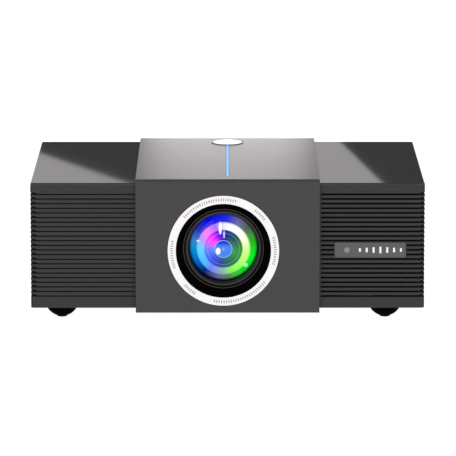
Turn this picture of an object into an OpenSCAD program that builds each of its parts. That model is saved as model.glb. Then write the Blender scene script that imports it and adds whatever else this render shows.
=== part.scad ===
// Home projector: a wide low case of two louvred wings and a proud centre band that
// carries the lens, with a folded single-panel optical engine inside.
// Frame: +X to the viewer's right, +Y to the back, +Z up; the origin is on the table,
// under the middle of the case.

/* [Case] */
// Width over both wings
body_w = 300; // [292:1:360]
// Depth of the wings, front to back
body_d = 205; // [202:1:260]
// Height of the wings
body_h = 96.4; // [92:0.1:120]
// Wall thickness of every case shell
wall = 2.5; // [1.8:0.1:3]
// Radius of the upright corners of the wings
corner_r = 3; // [2:0.5:5]
// Height of the wing undersides above the table
ground_gap = 11; // [9:0.5:16]

/* [Centre band] */
// Width of the centre band
band_w = 140; // [132:1:150]
// How far the band stands proud of the wings at the front, top and bottom
band_proud = 3.2; // [2.6:0.1:5]
// How far the band stands proud of the wings at the back
rear_proud = 0; // [0:0.1:5]
// Radius of the band's long top edges
band_edge_r = 2.2; // [1:0.1:2.5]

/* [Louvres] */
// Number of louvre slots up each wing
slot_count = 23; // [15:1:26]
// Solid band above the top slot, to its centre
slot_top_margin = 8.7; // [7:0.1:12]
// Solid band below the bottom slot, to its centre
slot_bottom_margin = 9.1; // [7:0.1:12]
// Height of an open slot in the front and back
slot_h = 1.5; // [1:0.1:1.8]
// Height of a slot in the outer sides
side_slot_h = 2; // [1.2:0.1:2.4]
// Height of the closed grooves across the left front
groove_h = 0.9; // [0.6:0.1:1.4]
// Depth of the closed grooves
groove_depth = 1.2; // [0.6:0.1:1.4]

/* [Top plates] */
// Thickness of the gloss plates on top of the wings
plate_t = 1.7; // [1.4:0.1:3]
// Bevel round the top of a plate
plate_bevel = 0.7; // [0.3:0.1:1]
// Depth of the skirt that locates a plate in its wing
skirt_h = 2; // [1:0.1:3]

/* [Lens] */
// Lens axis from the case's middle, negative to the left
lens_offset = -3.2; // [-8:0.1:8]
// Lens axis above the wing undersides
lens_rise = 44.8; // [43:0.1:50]
// Outer radius of the trim ring
trim_outer_r = 42.4; // [41.6:0.1:44]
// Inner radius of the trim ring
trim_inner_r = 36.2; // [35.2:0.1:36.6]
// How far the trim ring stands proud of the band
trim_proud = 0.8; // [0.4:0.1:1.5]
// Outer radius of the focusing barrel
barrel_r = 30.8; // [30.2:0.1:31.6]
// Depth of the barrel's front edge behind the band's face
barrel_depth = 9; // [8:0.1:10]
// Length of the focusing barrel
barrel_l = 61; // [58:0.5:62]
// Radius of the front glass
glass_r = 27.6; // [27:0.1:28]
// Focus travel either way from rest
focus_travel = 6; // [3:0.1:6]
// Radius of the focus motor's shaft and of the guide rod
screw_r = 1.5; // [1:0.1:2]

/* [Button and light] */
// Radius of the power button
button_r = 11.5; // [8:0.1:13]
// How far the power button stands proud
button_proud = 0.7; // [0.4:0.1:1.5]
// Press travel of the power button
button_travel = 0.8; // [0.4:0.1:1]
// Button centre forward of the band's back face
button_back = 26; // [22:0.1:40]
// Width of the light line
light_w = 2.4; // [1.6:0.1:4]
// Front end of the light line behind the band's face
light_front = 15; // [12:1:40]

/* [Feet] */
// Radius of the ball-shaped feet
foot_r = 13.1; // [11:0.1:14]
// Foot centres in front of the lens axis plane, either side
foot_half_span = 124; // [118:1:128]
// Foot centres from the front and back of the wings
foot_inset = 25; // [20:1:32]
// Adjusting travel of a front foot
foot_travel = 9; // [6:0.5:9]
// Radius of a front foot's threaded stem
stem_r = 3.9; // [3:0.1:5]

/* [Fans and speakers] */
// Side length of a fan frame
fan_size = 60; // [50:1:62]
// Thickness of a fan frame
fan_t = 15; // [13:0.5:16]
// Side length of a speaker flange
speaker_size = 40; // [36:1:44]

/* [Sockets] */
// Bore radius of the two 3.5 mm jacks
jack_r = 1.8; // [1.75:0.01:2]
// Width of the socket panel
panel_w = 116; // [112:1:118]
// Height of the socket panel
panel_h = 36; // [32:1:44]
// Minor radius of the 1/4 inch tripod thread
tripod_r = 2.55; // [2.5:0.01:2.7]
// Minor radius of the M4 bracket threads
bracket_r = 1.65; // [1.6:0.01:1.8]

/* [Hidden] */
$fn = 96;

// Clearances
gap = 0.15;         // between case pieces that meet
fit = 0.1;          // between pieces that fit in one another and stay put
run = 0.06;         // radial, between a turning or sliding shaft and its hole
play = 0.3;         // round a screw's head and shank
seat = 0.2;         // round a glass, a socket or an insert in its seat
eps = 0.01;         // overshoot of cuts

// Case planes
half_w = body_w / 2;
half_band = band_w / 2;
y_mid = (band_proud + trim_proud - rear_proud) / 2;
y_front = y_mid - body_d / 2;
y_rear = y_mid + body_d / 2;
band_front = y_front - band_proud;
band_rear = y_rear + rear_proud;
z_base = ground_gap;
z_top = z_base + body_h;
band_bottom = z_base - band_proud;
band_top = z_top + band_proud;
floor_t = 3;
flange_w = 6;

// Louvres
slot_pitch = (body_h - slot_top_margin - slot_bottom_margin) / (slot_count - 1);
slot_start = 1.1;          // inner end of the slots, outside the band
rib_t = 1.5;                // inner uprights that tie the ribs together
rib_w = 3;
notch_w = 3;                // full-height part of the corner notch
notch_taper = 3.5;
wing_inner_h = body_h - floor_t - plate_t - skirt_h - 2 * gap;

// Screw posts and bosses
post_r = 4.5;
post_inset = 6.4;
pilot_r = 1.5;
screw_shank_r = 1.4;
screw_head_r = 2.9;
boss_h = 3;
screw_l = 17;
screw_head_h = 2;
drive_slot = [3.4, 0.7, 1.1];

// Threaded inserts in the band's underside
insert_r = 5;
insert_l = 10;
insert_boss = [8, 9.2];       // radius and height
bracket_insert_r = 3;
bracket_insert_l = 7;
bracket_boss = [5.5, 6];
bracket_span = [100, 120];

// Air slots in the underside
vent_count = 10;
vent_pitch = 4.6;
vent_w = 2.2;
vent_l = 44;
vent_start = 16;

// Lens axis
lens_x = lens_offset;
lens_z = z_base + lens_rise;

// Badge on the right wing
badge_w = 54;
badge_h = 11.4;
badge_t = 1.2;
badge_proud = 0.2;
badge_x = (half_band + half_w) / 2 - 1.4;
badge_slot = 12;
badge_z = z_top - slot_top_margin - badge_slot * slot_pitch;
window_r = 2.1;
window_x = badge_x - 17.8;
upright_x = [half_band + gap + 1.6, window_x + 8.15, window_x + 27.35,
             half_w - post_inset - 6.25];

// Button and light line
button_y = band_rear - button_back;
bezel_w = 1.2;
bezel_bottom = band_top - wall - 1;
collar_top = bezel_bottom - 0.3;
collar_t = 1.8;
plunger_bottom = collar_top - collar_t - 1.3;
board_z = band_top - 11.8;
board_t = 1.6;
light_y0 = band_front + light_front;
light_y1 = button_y - button_r - bezel_w - 0.8;

// Feet
foot_y = y_front + foot_inset;
rear_foot_y = y_rear - foot_inset;
stud_r = 2.5;                 // rear foot's stud
pad_r = 3.8;
pad_t = 1.8;
pad_pin_r = 1.8;
pad_pin_h = 3.2;
grip_r = 0.9;                 // grooves round a foot's rim
grip_count = 20;
foot_flat_z = 0.8;
foot_flat_r = 4.2;
nut_r = 6.5;
nut_l = foot_travel + 7;      // 7 mm of thread still holds at full travel
foot_boss_r = 8.5;

// Engine, from the lens outwards
mount_flange_depth = 77.8;
mount_flange_t = 3;
engine_y0 = band_front + mount_flange_depth + mount_flange_t;
engine_wall = 2;
engine_x0 = lens_x - 52.8;
engine_x1 = lens_x + 93.2;
engine_d = 107;
engine_z0 = lens_z - 33.6;
engine_h = 68;
optic_y = engine_y0 + 54;
optic_half = 50;
optic_z0 = engine_z0 + engine_wall;
optic_z1 = engine_z0 + engine_h - 0.2;
lid_t = 2;
lid_rib = [2, 20, 1.5];       // width, pitch and height
mirror_half = 58;
mirror_t = 3;
// Places along the light's path, from the lens axis, and thicknesses
panel_at = 55.2;
panel_t = 2.6;
fresnel_at = [63.2, 84.2];
fresnel_t = 2;
heat_glass_at = 73.6;
heat_glass_t = 1.5;
condenser_r = 22;
condenser_ball_r = 26;
lamp_r = 25;

// Focus drive, beside the lens
drive_r = 42;
carriage_depth = barrel_depth + 12;
carriage_l = 10;
mount_depth = carriage_depth + carriage_l + focus_travel + 3;
ear_depth = mount_depth + 12;
ear_t = 3;
motor_r = 7;
motor_l = 14;

// Light source, to the right of the engine
lamp_l = 21;
led_x = engine_x1 + lamp_l;
block_t = 7.4;
block_half = 25;
pipe_r = 3;
pipe_x = led_x + 1.6 + block_t + pipe_r + fit;
sink_y0 = y_front + 42.6;
sink_d = 54;
sink_h = 54;

// Rear electronics
main_board_y = band_rear - 18.6;
panel_z = z_base + 35;
socket_back = band_rear - 1;
socket_depth = 12;

// Placement helpers
module along_y() rotate([-90, 0, 0]) children();
module along_x() rotate([0, 90, 0]) children();
module at_lens() translate([lens_x, band_front, lens_z]) along_y() children();
module block(low, high) translate(low) cube(high - low);
module tube(outer, inner, z0, z1) {
    difference() {
        translate([0, 0, z0]) cylinder(r = outer, h = z1 - z0);
        translate([0, 0, z0 - 1]) cylinder(r = inner, h = z1 - z0 + 2);
    }
}
module rounded_rect(w, h, r) {
    square([w - 2 * r, h], center = true);
    square([w, h - 2 * r], center = true);
    for (x = [-1, 1], y = [-1, 1])
        translate([x * (w / 2 - r), y * (h / 2 - r)]) circle(r = r);
}

// Positions of the case screws: four in the wings, four under the band.
wing_posts = [for (x = [-1, 1], y = [y_front + post_inset, y_rear - post_inset])
    [x * (half_w - post_inset), y]];
band_posts = [for (x = [-1, 1], y = [band_front + 10.6, band_rear - 10.6])
    [x * (half_band - 8), y]];
bracket_holes = [for (x = [-1, 1], y = [-1, 1])
    [x * bracket_span[0] / 2, y_mid + y * bracket_span[1] / 2]];
engine_posts = [for (x = [engine_x0 + 6, engine_x1 - 6],
                     y = [engine_y0 + 7, engine_y0 + engine_d - 7]) [x, y]];
front_feet = [for (s = [-1, 1]) [lens_x + s * foot_half_span, foot_y]];
back_feet = [for (s = [-1, 1]) [lens_x + s * foot_half_span, rear_foot_y]];

function slot_z(i) = z_top - slot_top_margin - i * slot_pitch;

// ---------------------------------------------------------------- base tray
module base_tray() {
    inner_x = half_w - wall - gap;
    y0 = y_front + wall + gap;
    y1 = y_rear - wall - gap;
    color("#2c2b2c") difference() {
        union() {
            translate([0, y_mid, z_base]) linear_extrude(floor_t)
                rounded_rect(2 * inner_x, y1 - y0, max(corner_r - wall - gap, 0.5));
            block([-half_band, y0, band_bottom], [half_band, y1, z_base + floor_t]);
            block([-half_band + wall + gap, band_front + wall + gap, band_bottom],
                  [half_band - wall - gap, band_rear - wall - gap, z_base + floor_t]);
            for (p = wing_posts) translate([p[0], p[1], z_base])
                cylinder(r = post_inset - wall - gap, h = floor_t + boss_h);
            for (p = front_feet) translate([p[0], p[1], z_base])
                cylinder(r = foot_boss_r, h = nut_l + 1);
        }
        block([-half_band + wall, band_front + 2 * wall + gap, band_bottom + floor_t],
              [half_band - wall, band_rear - 2 * wall - gap, z_base + floor_t + 1]);
        for (p = front_feet) translate([p[0], p[1], z_base - 1]) {
            cylinder(r = nut_r + fit, h = nut_l + 1 - 0.5);
            cylinder(r = stem_r + 2 * fit, h = nut_l + 3);
        }
        for (p = back_feet) translate([p[0], p[1], z_base - 1])
            cylinder(r = stud_r + fit, h = floor_t + 2);
        for (p = wing_posts) screw_hole(p, z_base);
        base_vents();
        for (p = band_posts) screw_hole(p, band_bottom);
        translate([0, y_mid, band_bottom - 1]) cylinder(r = insert_r + fit, h = floor_t + 2);
        for (p = bracket_holes) translate([p[0], p[1], band_bottom - 1])
            cylinder(r = bracket_insert_r + fit, h = floor_t + 2);
    }
    color("#2c2b2c") base_bosses();
}
module screw_hole(p, z) {
    translate([p[0], p[1], z - 1]) {
        cylinder(r = screw_head_r + play, h = 1 + screw_head_h + 0.4);
        cylinder(r = screw_shank_r + play, h = screw_l + 3);
    }
}
// Bosses that stand on the band's floor and the engine's posts.
module base_bosses() difference() {
    floor_z = band_bottom + floor_t;
    union() {
        translate([0, y_mid, floor_z - eps]) cylinder(r = insert_boss[0], h = insert_boss[1] + eps);
        for (p = bracket_holes) translate([p[0], p[1], floor_z - eps])
            cylinder(r = bracket_boss[0], h = bracket_boss[1] + eps);
        for (p = band_posts) translate([p[0], p[1], floor_z - eps])
            cylinder(r = 4, h = boss_h + eps);
        for (p = engine_posts) {
            low = abs(p[0]) < half_band - wall ? floor_z : z_base + floor_t;
            translate([p[0], p[1], low - eps]) cylinder(r = 4, h = engine_z0 - low + eps);
        }
    }
    translate([0, y_mid, band_bottom]) cylinder(r = insert_r + fit, h = insert_l + 2 * seat);
    for (p = bracket_holes) translate([p[0], p[1], band_bottom])
        cylinder(r = bracket_insert_r + fit, h = bracket_insert_l + 2 * seat);
    for (p = band_posts) translate([p[0], p[1], band_bottom])
        cylinder(r = screw_shank_r + play, h = floor_t + boss_h + 1);
}
// Two fields of air slots in the underside of the wings.
module base_vents() {
    for (s = [-1, 1], i = [0 : vent_count - 1])
        translate([s * (half_band + vent_start + vent_pitch * i) - vent_w / 2,
                   y_mid - vent_l / 2, z_base - 1])
            cube([vent_w, vent_l, floor_t + 2]);
}

// ---------------------------------------------------------------- centre cover
module cover_profile(inset) {
    w = band_rear - band_front - 2 * inset;
    h = band_top - band_bottom - (inset > 0 ? inset - 1 : 0);
    r = max(band_edge_r - inset, 0.6);
    translate([band_front + inset, inset > 0 ? band_bottom - 1 : band_bottom]) {
        square([w, h - r]);
        translate([r, 0]) square([w - 2 * r, h]);
        for (x = [r, w - r]) translate([x, h - r]) circle(r = r);
    }
}
module yz_slab(x0, x1) translate([x0, 0, 0])
    rotate([90, 0, 90]) linear_extrude(x1 - x0) children();
module centre_cover() {
    post_z = band_bottom + floor_t + boss_h + gap;
    color("#4f4d4e") difference() {
        union() {
            difference() {
                yz_slab(-half_band, half_band) cover_profile(0);
                yz_slab(-half_band + wall, half_band - wall)
                    cover_profile(wall);
                block([-half_band - 1, y_front + flange_w, band_bottom - 1],
                      [half_band + 1, y_rear - flange_w, z_top - flange_w]);
                block([-half_band - 1, y_front + wall, band_bottom - 1],
                      [half_band + 1, y_rear - wall, z_base + floor_t + gap]);
            }
            for (p = band_posts) translate([p[0], p[1], post_z])
                cylinder(r = post_r - 1, h = band_top - wall / 2 - post_z);
        }
        for (p = band_posts) translate([p[0], p[1], post_z - 1])
            cylinder(r = pilot_r, h = screw_l);
        at_lens() translate([0, 0, -2]) cylinder(r = trim_outer_r - 3 + fit, h = wall + 4);
        translate([0, button_y, band_top - wall - 1])
            cylinder(r = button_r + bezel_w + 0.3, h = wall + 2);
        block([-light_w / 2 - fit, light_y0 - fit, band_top - wall - 1],
              [light_w / 2 + fit, light_y1 + fit, band_top + 1]);
        block([-panel_w / 2, band_rear - wall - 1, panel_z - panel_h / 2],
              [panel_w / 2, band_rear + 1, panel_z + panel_h / 2]);
    }
}

// ---------------------------------------------------------------- wings
// Outline of the right wing seen from above, drawn in by inset, from x0 outwards.
module wing_outline(inset, x0 = half_band + gap) {
    r = max(corner_r - inset, 0.5);
    translate([x0, y_front + inset]) {
        w = half_w - inset - x0;
        d = body_d - 2 * inset;
        square([w - r, d]);
        translate([0, r]) square([w, d - 2 * r]);
        for (y = [r, d - r]) translate([w - r, y]) circle(r = r);
    }
}
module wing_shell() {
    difference() {
        union() {
            translate([0, 0, z_base]) linear_extrude(body_h - plate_t) difference() {
                wing_outline(0);
                wing_outline(wall, half_band - 1);
                translate([half_band - 1, y_front + wall])
                    square([5, body_d - 2 * wall]);
            }
            wing_uprights();
            for (y = [y_front + post_inset, y_rear - post_inset])
                translate([half_w - post_inset, y, z_base + floor_t + boss_h + gap])
                    cylinder(r = post_r, h = wing_inner_h - boss_h);
        }
        for (y = [y_front + post_inset, y_rear - post_inset])
            translate([half_w - post_inset, y, z_base])
                cylinder(r = pilot_r, h = screw_l + 4);
    }
}
// Uprights inside the walls that hold the ribs together.
module wing_uprights() {
    z0 = z_base + floor_t + gap;
    for (x = upright_x, y = [y_front + wall - 0.5, y_rear - wall - rib_t])
        translate([x, y, z0]) cube([rib_w, rib_t + 0.5, wing_inner_h]);
    for (i = [0 : 5])
        translate([half_w - wall - rib_t, y_front + (i + 0.5) * body_d / 6 - rib_w / 2, z0])
            cube([rib_t + 0.5, rib_w, wing_inner_h]);
}
// Slots in the outer side, with a notch that runs on round the front corner.
module side_slots(taper) {
    for (i = [0 : slot_count - 1]) {
        z0 = slot_z(i) - groove_h / 2;
        z1 = z0 + side_slot_h;
        block([half_w - wall, y_front + corner_r, z0], [half_w + 1, y_rear + 1, z1]);
        translate([0, y_front + wall + 0.6, 0]) rotate([90, 0, 0]) linear_extrude(wall + 2)
            polygon([[half_w + 1, z0], [half_w - notch_w - taper, z0],
                     [half_w - notch_w, z1], [half_w + 1, z1]]);
    }
}
module rear_slots() {
    for (i = [0 : slot_count - 1])
        block([half_band + slot_start, y_rear - wall, slot_z(i) - slot_h / 2],
              [half_w + 1, y_rear + 1, slot_z(i) + slot_h / 2]);
}
module right_wing() {
    pad_x = [badge_x - badge_w / 2 - 0.6, badge_x + badge_w / 2 + 0.6];
    color("#444243") difference() {
        wing_shell();
        side_slots(0.8);
        rear_slots();
        for (i = [0 : slot_count - 1]) {
            z = slot_z(i);
            split = abs(i - badge_slot) < 2;
            block([half_band + slot_start, y_front - 1, z - slot_h / 2],
                  [split ? pad_x[0] : half_w - 1, y_front + wall, z + slot_h / 2]);
            if (split) block([pad_x[1], y_front - 1, z - slot_h / 2],
                             [half_w - 1, y_front + wall, z + slot_h / 2]);
        }
        block([badge_x - badge_w / 2 - fit, y_front - 1, badge_z - badge_h / 2 - fit],
              [badge_x + badge_w / 2 + fit, y_front + badge_t - badge_proud,
               badge_z + badge_h / 2 + fit]);
        translate([window_x, y_front - 1, badge_z]) along_y() cylinder(r = window_r + 0.2, h = 9);
    }
}
module left_wing() {
    color("#444243") mirror([1, 0, 0]) difference() {
        wing_shell();
        side_slots(notch_taper);
        rear_slots();
        for (i = [0 : slot_count - 1])
            block([half_band, y_front - 1, slot_z(i) - groove_h / 2],
                  [half_w - notch_w, y_front + groove_depth, slot_z(i) + groove_h / 2]);
    }
}
// A slab of the plate's thickness from a to b, bevelled along the top of the edges asked for.
module bevel_profile(a, b, bevel_a, bevel_b) translate([0, z_top - plate_t + fit]) polygon([
    [a, 0], [b, 0], [b, plate_t - fit - bevel_b], [b - bevel_b, plate_t - fit],
    [a + bevel_a, plate_t - fit], [a, plate_t - fit - bevel_a]]);
module top_plate() {
    intersection() {
        translate([0, 0, z_top - plate_t]) linear_extrude(plate_t + 1) wing_outline(0);
        yz_slab(half_band, half_w) bevel_profile(y_front, y_rear, plate_bevel, plate_bevel);
        translate([0, y_rear, 0]) rotate([90, 0, 0]) linear_extrude(body_d)
            bevel_profile(half_band + gap, half_w, 0, plate_bevel);
    }
    translate([0, 0, z_top - plate_t - skirt_h]) linear_extrude(skirt_h + 2 * fit) difference() {
        wing_outline(wall + gap, half_band + 3);
        wing_outline(wall + gap + rib_t, half_band + 2);
    }
}
module right_top_plate() color("#161616") top_plate();
module left_top_plate() color("#161616") mirror([1, 0, 0]) top_plate();

// ---------------------------------------------------------------- front trim
module lens_trim_ring() {
    skirt_r = trim_outer_r - 3;
    color("#f4f4f2") at_lens() rotate_extrude() polygon([
        [trim_inner_r, -trim_proud], [trim_outer_r, -trim_proud], [trim_outer_r, 0],
        [skirt_r, 0], [skirt_r, wall - 0.1], [skirt_r - 1.2, wall - 0.1],
        [skirt_r - 1.2, 0], [trim_inner_r, 0]]);
}
module lens_shroud() {
    outer = trim_outer_r - 4.4;
    floor_depth = barrel_depth + 1;
    boss_depth = 8.6;
    color("#0b0b0b") at_lens() difference() {
        union() {
            rotate_extrude() polygon([
                [trim_inner_r + 0.2, 0.1], [outer, 0.1], [outer, wall + 0.1],
                [outer + 3.2, wall + 0.1], [outer + 3.2, wall + 2.1], [outer, wall + 2.1],
                [outer, floor_depth + 2], [barrel_r + 1, floor_depth + 2],
                [barrel_r + 1, floor_depth], [trim_inner_r - 1.2, floor_depth]]);
            translate([-drive_r - 4, -6, wall + 0.1]) cube([10, 12, 2]);
            translate([-drive_r, 0, wall + 2]) cylinder(r = 3.2, h = boss_depth - wall - 2);
        }
        translate([-drive_r, 0, wall + 2.2]) cylinder(r = screw_r + run, h = boss_depth);
    }
}
module badge_plate() {
    color("#636162") difference() {
        translate([badge_x, y_front - badge_proud, badge_z]) along_y()
            linear_extrude(badge_t) rounded_rect(badge_w, badge_h, 1.2);
        translate([window_x, y_front - 2, badge_z]) along_y() cylinder(r = window_r + 0.1, h = 6);
    }
}
module ir_window() {
    color("#95919a") translate([window_x, y_front - badge_proud - 0.1, badge_z]) along_y()
        cylinder(r = window_r, h = wall - 0.2);
}
module ir_receiver() {
    color("#1a1a1c") translate([window_x - 3.5, y_front + wall, badge_z - 4]) cube([7, 5, 8]);
}
module intake_filter() {
    y0 = y_front + wall + rib_t + 0.2;
    color("#1d1d1d") difference() {
        block([half_band + 4, y0, z_base + floor_t + 6],
              [half_w - 14, y0 + 1.5, z_top - plate_t - 6]);
        block([window_x - 5, y0 - 1, badge_z - 6], [window_x + 5, y0 + 3, badge_z + 6]);
    }
}

// ---------------------------------------------------------------- button and light
module power_button() {
    top = band_top + button_proud;
    color("#e9e9ea") translate([0, button_y, 0]) {
        translate([0, 0, collar_top - eps]) cylinder(r = button_r, h = top - collar_top + eps);
        translate([0, 0, collar_top - collar_t]) cylinder(r = button_r + 1.6, h = collar_t);
        translate([0, 0, plunger_bottom])
            cylinder(r = 2, h = collar_top - collar_t - plunger_bottom + eps);
    }
}
module button_bezel() {
    inner = button_r + 0.2;
    outer = button_r + bezel_w + 0.2;
    color("#8c8c8e") translate([0, button_y, 0]) {
        tube(outer, inner, band_top - wall - fit, band_top + 0.2);
        tube(outer + 1.2, inner, bezel_bottom, band_top - wall - fit);
    }
}
module light_guide() {
    color("#7db9ff") {
        block([-light_w / 2, light_y0, band_top - wall - fit],
              [light_w / 2, light_y1, band_top]);
        block([-3, light_y0 - 2, band_top - wall - 3], [3, light_y1 - 1.2, band_top - wall - fit]);
    }
}
module top_board() {
    top = board_z + board_t;
    color("#1f6b45") {
        block([-6, light_y0 - 2, board_z], [6, button_y + 12, top]);
        for (i = [0 : 11])
            translate([-1.5, light_y0 + 4 + i * (light_y1 - light_y0 - 8) / 11 - 1.5, top - eps])
                cube([3, 3, 1]);
        translate([-3, button_y - 3, top - eps])
            cube([6, 6, plunger_bottom - button_travel - fit - top]);
    }
}

// ---------------------------------------------------------------- feet
module ball(bottom, top, flat_r) {
    centre_z = bottom + sqrt(foot_r * foot_r - flat_r * flat_r);
    intersection() {
        translate([0, 0, centre_z]) sphere(r = foot_r);
        translate([0, 0, bottom]) cylinder(r = foot_r + 1, h = top - bottom);
    }
}
module foot_pad(p) {
    color("#101010") translate([p[0], p[1], 0]) {
        cylinder(r = pad_r, h = pad_t);
        cylinder(r = pad_pin_r, h = pad_t + pad_pin_h);
    }
}
module foot_screw(p) {
    color("#141414") translate([p[0], p[1], 0]) difference() {
        union() {
            ball(foot_flat_z, z_base - 0.7, foot_flat_r);
            translate([0, 0, z_base - 2]) cylinder(r = stem_r, h = nut_l + 3);
        }
        translate([0, 0, foot_flat_z - 1])
            cylinder(r = pad_r + seat, h = pad_t + seat + 1 - foot_flat_z);
        cylinder(r = pad_pin_r + fit, h = pad_t + pad_pin_h + 2 * seat);
        for (i = [0 : grip_count - 1]) rotate(i * 360 / grip_count)
            translate([foot_r + 0.35, 0, z_base - 4]) cylinder(r = grip_r, h = 4, $fn = 24);
    }
}
module foot_nuts() {
    color("#b58b45") for (p = front_feet) translate([p[0], p[1], 0])
        tube(nut_r, stem_r + run, z_base + fit, z_base + nut_l - 0.7);
}
module rear_feet() {
    color("#101010") for (p = back_feet) translate([p[0], p[1], 0]) {
        ball(0, z_base, foot_flat_r);
        cylinder(r = stud_r, h = z_base + floor_t + 1.5);
    }
}
module tripod_insert() {
    color("#c09a52") translate([0, y_mid, 0]) 
    tube(insert_r, tripod_r, band_bottom + seat, band_bottom + seat + insert_l);
}
module bracket_inserts() {
    color("#c09a52") for (p = bracket_holes) translate([p[0], p[1], 0])
        tube(bracket_insert_r, bracket_r, band_bottom + seat,
             band_bottom + seat + bracket_insert_l);
}
module case_screws() {
    color("#3a3a3c") {
        for (p = wing_posts) case_screw(p, z_base + play);
        for (p = band_posts) case_screw(p, band_bottom + play);
    }
}
module case_screw(p, z) {
    translate([p[0], p[1], z]) difference() {
        union() {
            cylinder(r = screw_head_r, h = screw_head_h);
            cylinder(r = screw_shank_r, h = screw_l);
        }
        for (a = [0, 90]) rotate(a)
            translate([-drive_slot[0] / 2, -drive_slot[1] / 2, -eps]) cube(drive_slot);
    }
}

// ---------------------------------------------------------------- sockets
video_x = [-16, 4];
video_size = [15, 5.5];
data_x = 23;
data_z = [panel_z - 7, panel_z + 7];
data_size = [13.2, 5.8];
shell_t = 0.45;
jack_x = [38, 49];
jack_collar_r = 3.5;
jack_body = 9;
jack_depth = 14;
inlet_x = -43;
inlet_half = 4.7;             // the inlet's outline is two circles of radius 5, joined
inlet_end_r = 5;
inlet_wall = 0.9;
inlet_pin_r = 1.2;
inlet_pin_half = 4.3;
inlet_pin_l = 11.5;
module inlet_shape(grow) {
    square([2 * inlet_half, 2 * (inlet_end_r + grow)], center = true);
    for (s = [-1, 1]) translate([s * inlet_half, 0]) circle(r = inlet_end_r + grow);
}
module io_panel() {
    back = band_rear - 0.8;
    color("#191919") difference() {
        union() {
            block([-panel_w / 2 + fit, band_rear - wall - 0.5, panel_z - panel_h / 2 + fit],
                  [panel_w / 2 - fit, back, panel_z + panel_h / 2 - fit]);
            block([-panel_w / 2 - 1, band_rear - wall - 1.7, panel_z - panel_h / 2 - 2],
                  [panel_w / 2 + 1, band_rear - wall - fit, panel_z + panel_h / 2 + 2]);
        }
        for (x = video_x) socket_cut(x, panel_z, video_size);
        for (z = data_z) socket_cut(data_x, z, data_size);
        for (x = jack_x) translate([x, back - 8, panel_z]) along_y()
            cylinder(r = jack_collar_r + seat, h = 12);
        translate([inlet_x, back - 8, panel_z]) along_y() linear_extrude(12) inlet_shape(1.1);
    }
}
// A block of the given width and height, centred at x and z, between two depths.
module socket_block(x, z, size, y0, y1)
    block([x - size[0] / 2, y0, z - size[1] / 2], [x + size[0] / 2, y1, z + size[1] / 2]);
module socket_cut(x, z, size)
    socket_block(x, z, [size[0] + 2 * seat, size[1] + 2 * seat], band_rear - 9, band_rear + 1);
module socket_shell(x, z, size) difference() {
    socket_block(x, z, size, main_board_y + board_t, socket_back);
    socket_block(x, z, [size[0] - 2 * shell_t, size[1] - 2 * shell_t],
                 socket_back - socket_depth, socket_back + 1);
}
module socket_shells() color("#b9bcc0") {
    for (x = video_x) socket_shell(x, panel_z, video_size);
    for (z = data_z) socket_shell(data_x, z, data_size);
}
module socket_tongues() color("#111111") {
    y0 = socket_back - socket_depth;
    for (x = video_x) block([x - 5.4, y0, panel_z - 0.1], [x + 5.4, socket_back - 2, panel_z + 1]);
    for (z = data_z)
        block([data_x - 5.6, y0, z - 0.2], [data_x + 5.6, socket_back - 1.5, z + 1.7]);
}
module audio_jacks() color("#0e0e0e") {
    for (x = jack_x) difference() {
        union() {
            translate([x, band_rear - 5, panel_z]) along_y()
                cylinder(r = jack_collar_r, h = 4.6);
            socket_block(x, panel_z, [jack_body, jack_body], main_board_y + board_t,
                         band_rear - 4.9);
        }
        translate([x, band_rear - 0.4 - jack_depth, panel_z]) along_y()
            cylinder(r = jack_r, h = jack_depth + 6);
    }
}
module power_inlet() color("#0e0e0e") difference() {
    translate([inlet_x, main_board_y + board_t, panel_z]) along_y()
        linear_extrude(band_rear - 0.4 - main_board_y - board_t) inlet_shape(1);
    translate([inlet_x, band_rear - jack_depth, panel_z]) along_y()
        linear_extrude(jack_depth + 6) inlet_shape(-inlet_wall);
}
module inlet_pins() color("#c9ccd0") for (s = [-1, 1])
    translate([inlet_x + s * inlet_pin_half, band_rear - jack_depth, panel_z]) along_y()
        cylinder(r = inlet_pin_r, h = inlet_pin_l);

// ---------------------------------------------------------------- boards
chip_count = 4;
chip_pitch = 13;
chip_w = 9;
chip_x0 = -58;
module main_board() {
    color("#14532f") {
        block([-half_band + 6, main_board_y, z_base + 9],
              [half_band - 6, main_board_y + board_t, z_top - 15]);
        for (i = [0 : chip_count - 1])
            translate([chip_x0 + i * chip_pitch, main_board_y + board_t - eps, z_top - 30])
                cube([chip_w, 1.4, chip_w]);
    }
}
cooler_x = 18;
cooler_w = 26;
cooler_h = 22;
cooler_depth = 9;
cooler_fins = 8;
cooler_pitch = 3.5;
cooler_fin_t = 1.5;
module processor_sink() {
    x0 = cooler_x;
    z0 = panel_z + panel_h / 2 + 3;
    y0 = main_board_y + board_t;
    color("#8f9296") {
        block([x0, y0, z0], [x0 + cooler_w, y0 + 2, z0 + cooler_h]);
        for (i = [0 : cooler_fins - 1])
            block([x0 + i * cooler_pitch, y0 + 2 - eps, z0],
                  [x0 + i * cooler_pitch + cooler_fin_t, y0 + cooler_depth, z0 + cooler_h]);
    }
}
psu_x0 = -(half_w - wall - rib_t - fan_t - 6);
psu_x1 = -half_band - 6;
psu_y0 = foot_y + foot_boss_r + 8;
psu_y1 = y_rear - 14;
psu_z = z_base + floor_t + 6;
module power_board() color("#20663c") {
    block([psu_x0, psu_y0, psu_z], [psu_x1, psu_y1, psu_z + board_t]);
    for (x = [psu_x0 + 5, psu_x1 - 5], y = [psu_y0 + 5, psu_y1 - 5])
        translate([x, y, z_base + floor_t]) cylinder(r = 2.5, h = 6 + eps);
}
transformer = [28, 26, 24];
capacitor = [9, 30];          // radius and height
capacitor_pitch = 22;
choke = [11, 6, 12];          // outer and inner radius, height
cooling_plate = [2, 34, 28];
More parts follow.
